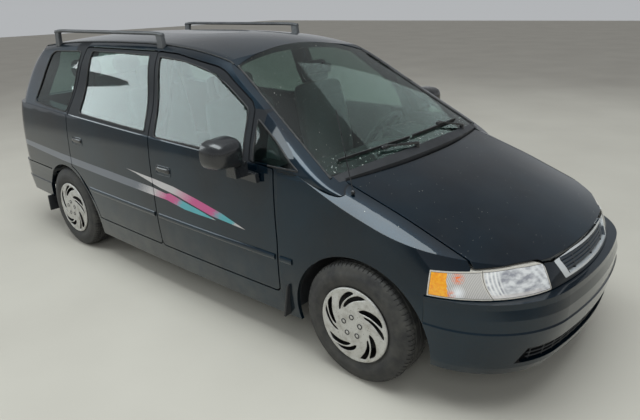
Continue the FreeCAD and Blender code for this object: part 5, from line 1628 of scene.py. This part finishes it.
def hang_lamps():
    for name, place, aim, width, depth, power, mirrored in LAMPS:
        lamp = bpy.data.lights.new(name, "AREA")
        lamp.shape = "RECTANGLE"
        lamp.size = width
        lamp.size_y = depth
        lamp.energy = power
        lamp.color = (0.90, 0.98, 1.0)
        holder = bpy.data.objects.new("lamp_" + name, lamp)
        holder.location = place
        holder.rotation_euler = (Vector(aim) - Vector(place)).to_track_quat("-Z", "Y").to_euler()
        holder.visible_glossy = mirrored
        holder.visible_camera = False
        bpy.context.scene.collection.objects.link(holder)


def place_camera():
    camera = bpy.data.cameras.new("photo_camera")
    camera.lens = CAMERA_LENS
    camera.sensor_width = 36.0
    camera.clip_end = 200.0
    holder = bpy.data.objects.new("photo_camera", camera)
    bpy.context.scene.collection.objects.link(holder)
    yaw, pitch, roll = (math.radians(angle) for angle in CAMERA_TURN)
    ahead = Vector((math.sin(yaw) * math.cos(pitch), math.cos(yaw) * math.cos(pitch), math.sin(pitch)))
    level = Vector((math.cos(yaw), -math.sin(yaw), 0))
    above = level.cross(ahead)
    right = math.cos(roll) * level + math.sin(roll) * above
    up = -math.sin(roll) * level + math.cos(roll) * above
    turn = Matrix((right, up, -ahead)).transposed().to_4x4()
    holder.matrix_world = Matrix.Translation(CAMERA_PLACE) @ turn
    bpy.context.scene.camera = holder


class MINIVAN_OT_stage(bpy.types.Operator):
    """Set up the floor, the soft light and the camera"""

    bl_idname = "minivan.stage"
    bl_label = "Stage"

    def execute(self, context):
        context.scene.view_settings.view_transform = "Standard"
        lay_floor()
        light_sky()
        hang_lamps()
        place_camera()
        return {"FINISHED"}


class MINIVAN_PT_panel(bpy.types.Panel):
    """Lists the steps that dress the minivan"""

    bl_idname = "MINIVAN_PT_panel"
    bl_label = "Minivan"
    bl_space_type = "VIEW_3D"
    bl_region_type = "UI"
    bl_category = "Minivan"

    def draw(self, context):
        for cls in OPERATORS:
            self.layout.operator(cls.bl_idname)
        for group in (context.scene.minivan_colours, context.scene.minivan_sizes):
            for key in group.__annotations__:
                self.layout.prop(group, key)


OPERATORS = (
    MINIVAN_OT_stage, MINIVAN_OT_finishes, MINIVAN_OT_tyres, MINIVAN_OT_covers, MINIVAN_OT_seals,
    MINIVAN_OT_mouldings, MINIVAN_OT_handles, MINIVAN_OT_wipers, MINIVAN_OT_mirrors, MINIVAN_OT_rack,
    MINIVAN_OT_seats, MINIVAN_OT_cabin, MINIVAN_OT_bumper_lines,
)
CLASSES = (MinivanColours, MinivanSizes) + OPERATORS + (MINIVAN_PT_panel,)


def register():
    for cls in CLASSES:
        bpy.utils.register_class(cls)
    bpy.types.Scene.minivan_colours = bpy.props.PointerProperty(type=MinivanColours)
    bpy.types.Scene.minivan_sizes = bpy.props.PointerProperty(type=MinivanSizes)


def unregister():
    del bpy.types.Scene.minivan_sizes
    del bpy.types.Scene.minivan_colours
    for cls in reversed(CLASSES):
        bpy.utils.unregister_class(cls)


def main():
    register()
    bpy.ops.minivan.stage()
    bpy.ops.minivan.finishes()
    bpy.ops.minivan.tyres()
    bpy.ops.minivan.covers()
    bpy.ops.minivan.seals()
    bpy.ops.minivan.mouldings()
    bpy.ops.minivan.handles()
    bpy.ops.minivan.wipers()
    bpy.ops.minivan.mirrors()
    bpy.ops.minivan.rack()
    bpy.ops.minivan.seats()
    bpy.ops.minivan.cabin()
    bpy.ops.minivan.bumper_lines()


if __name__ == "__main__":
    main()
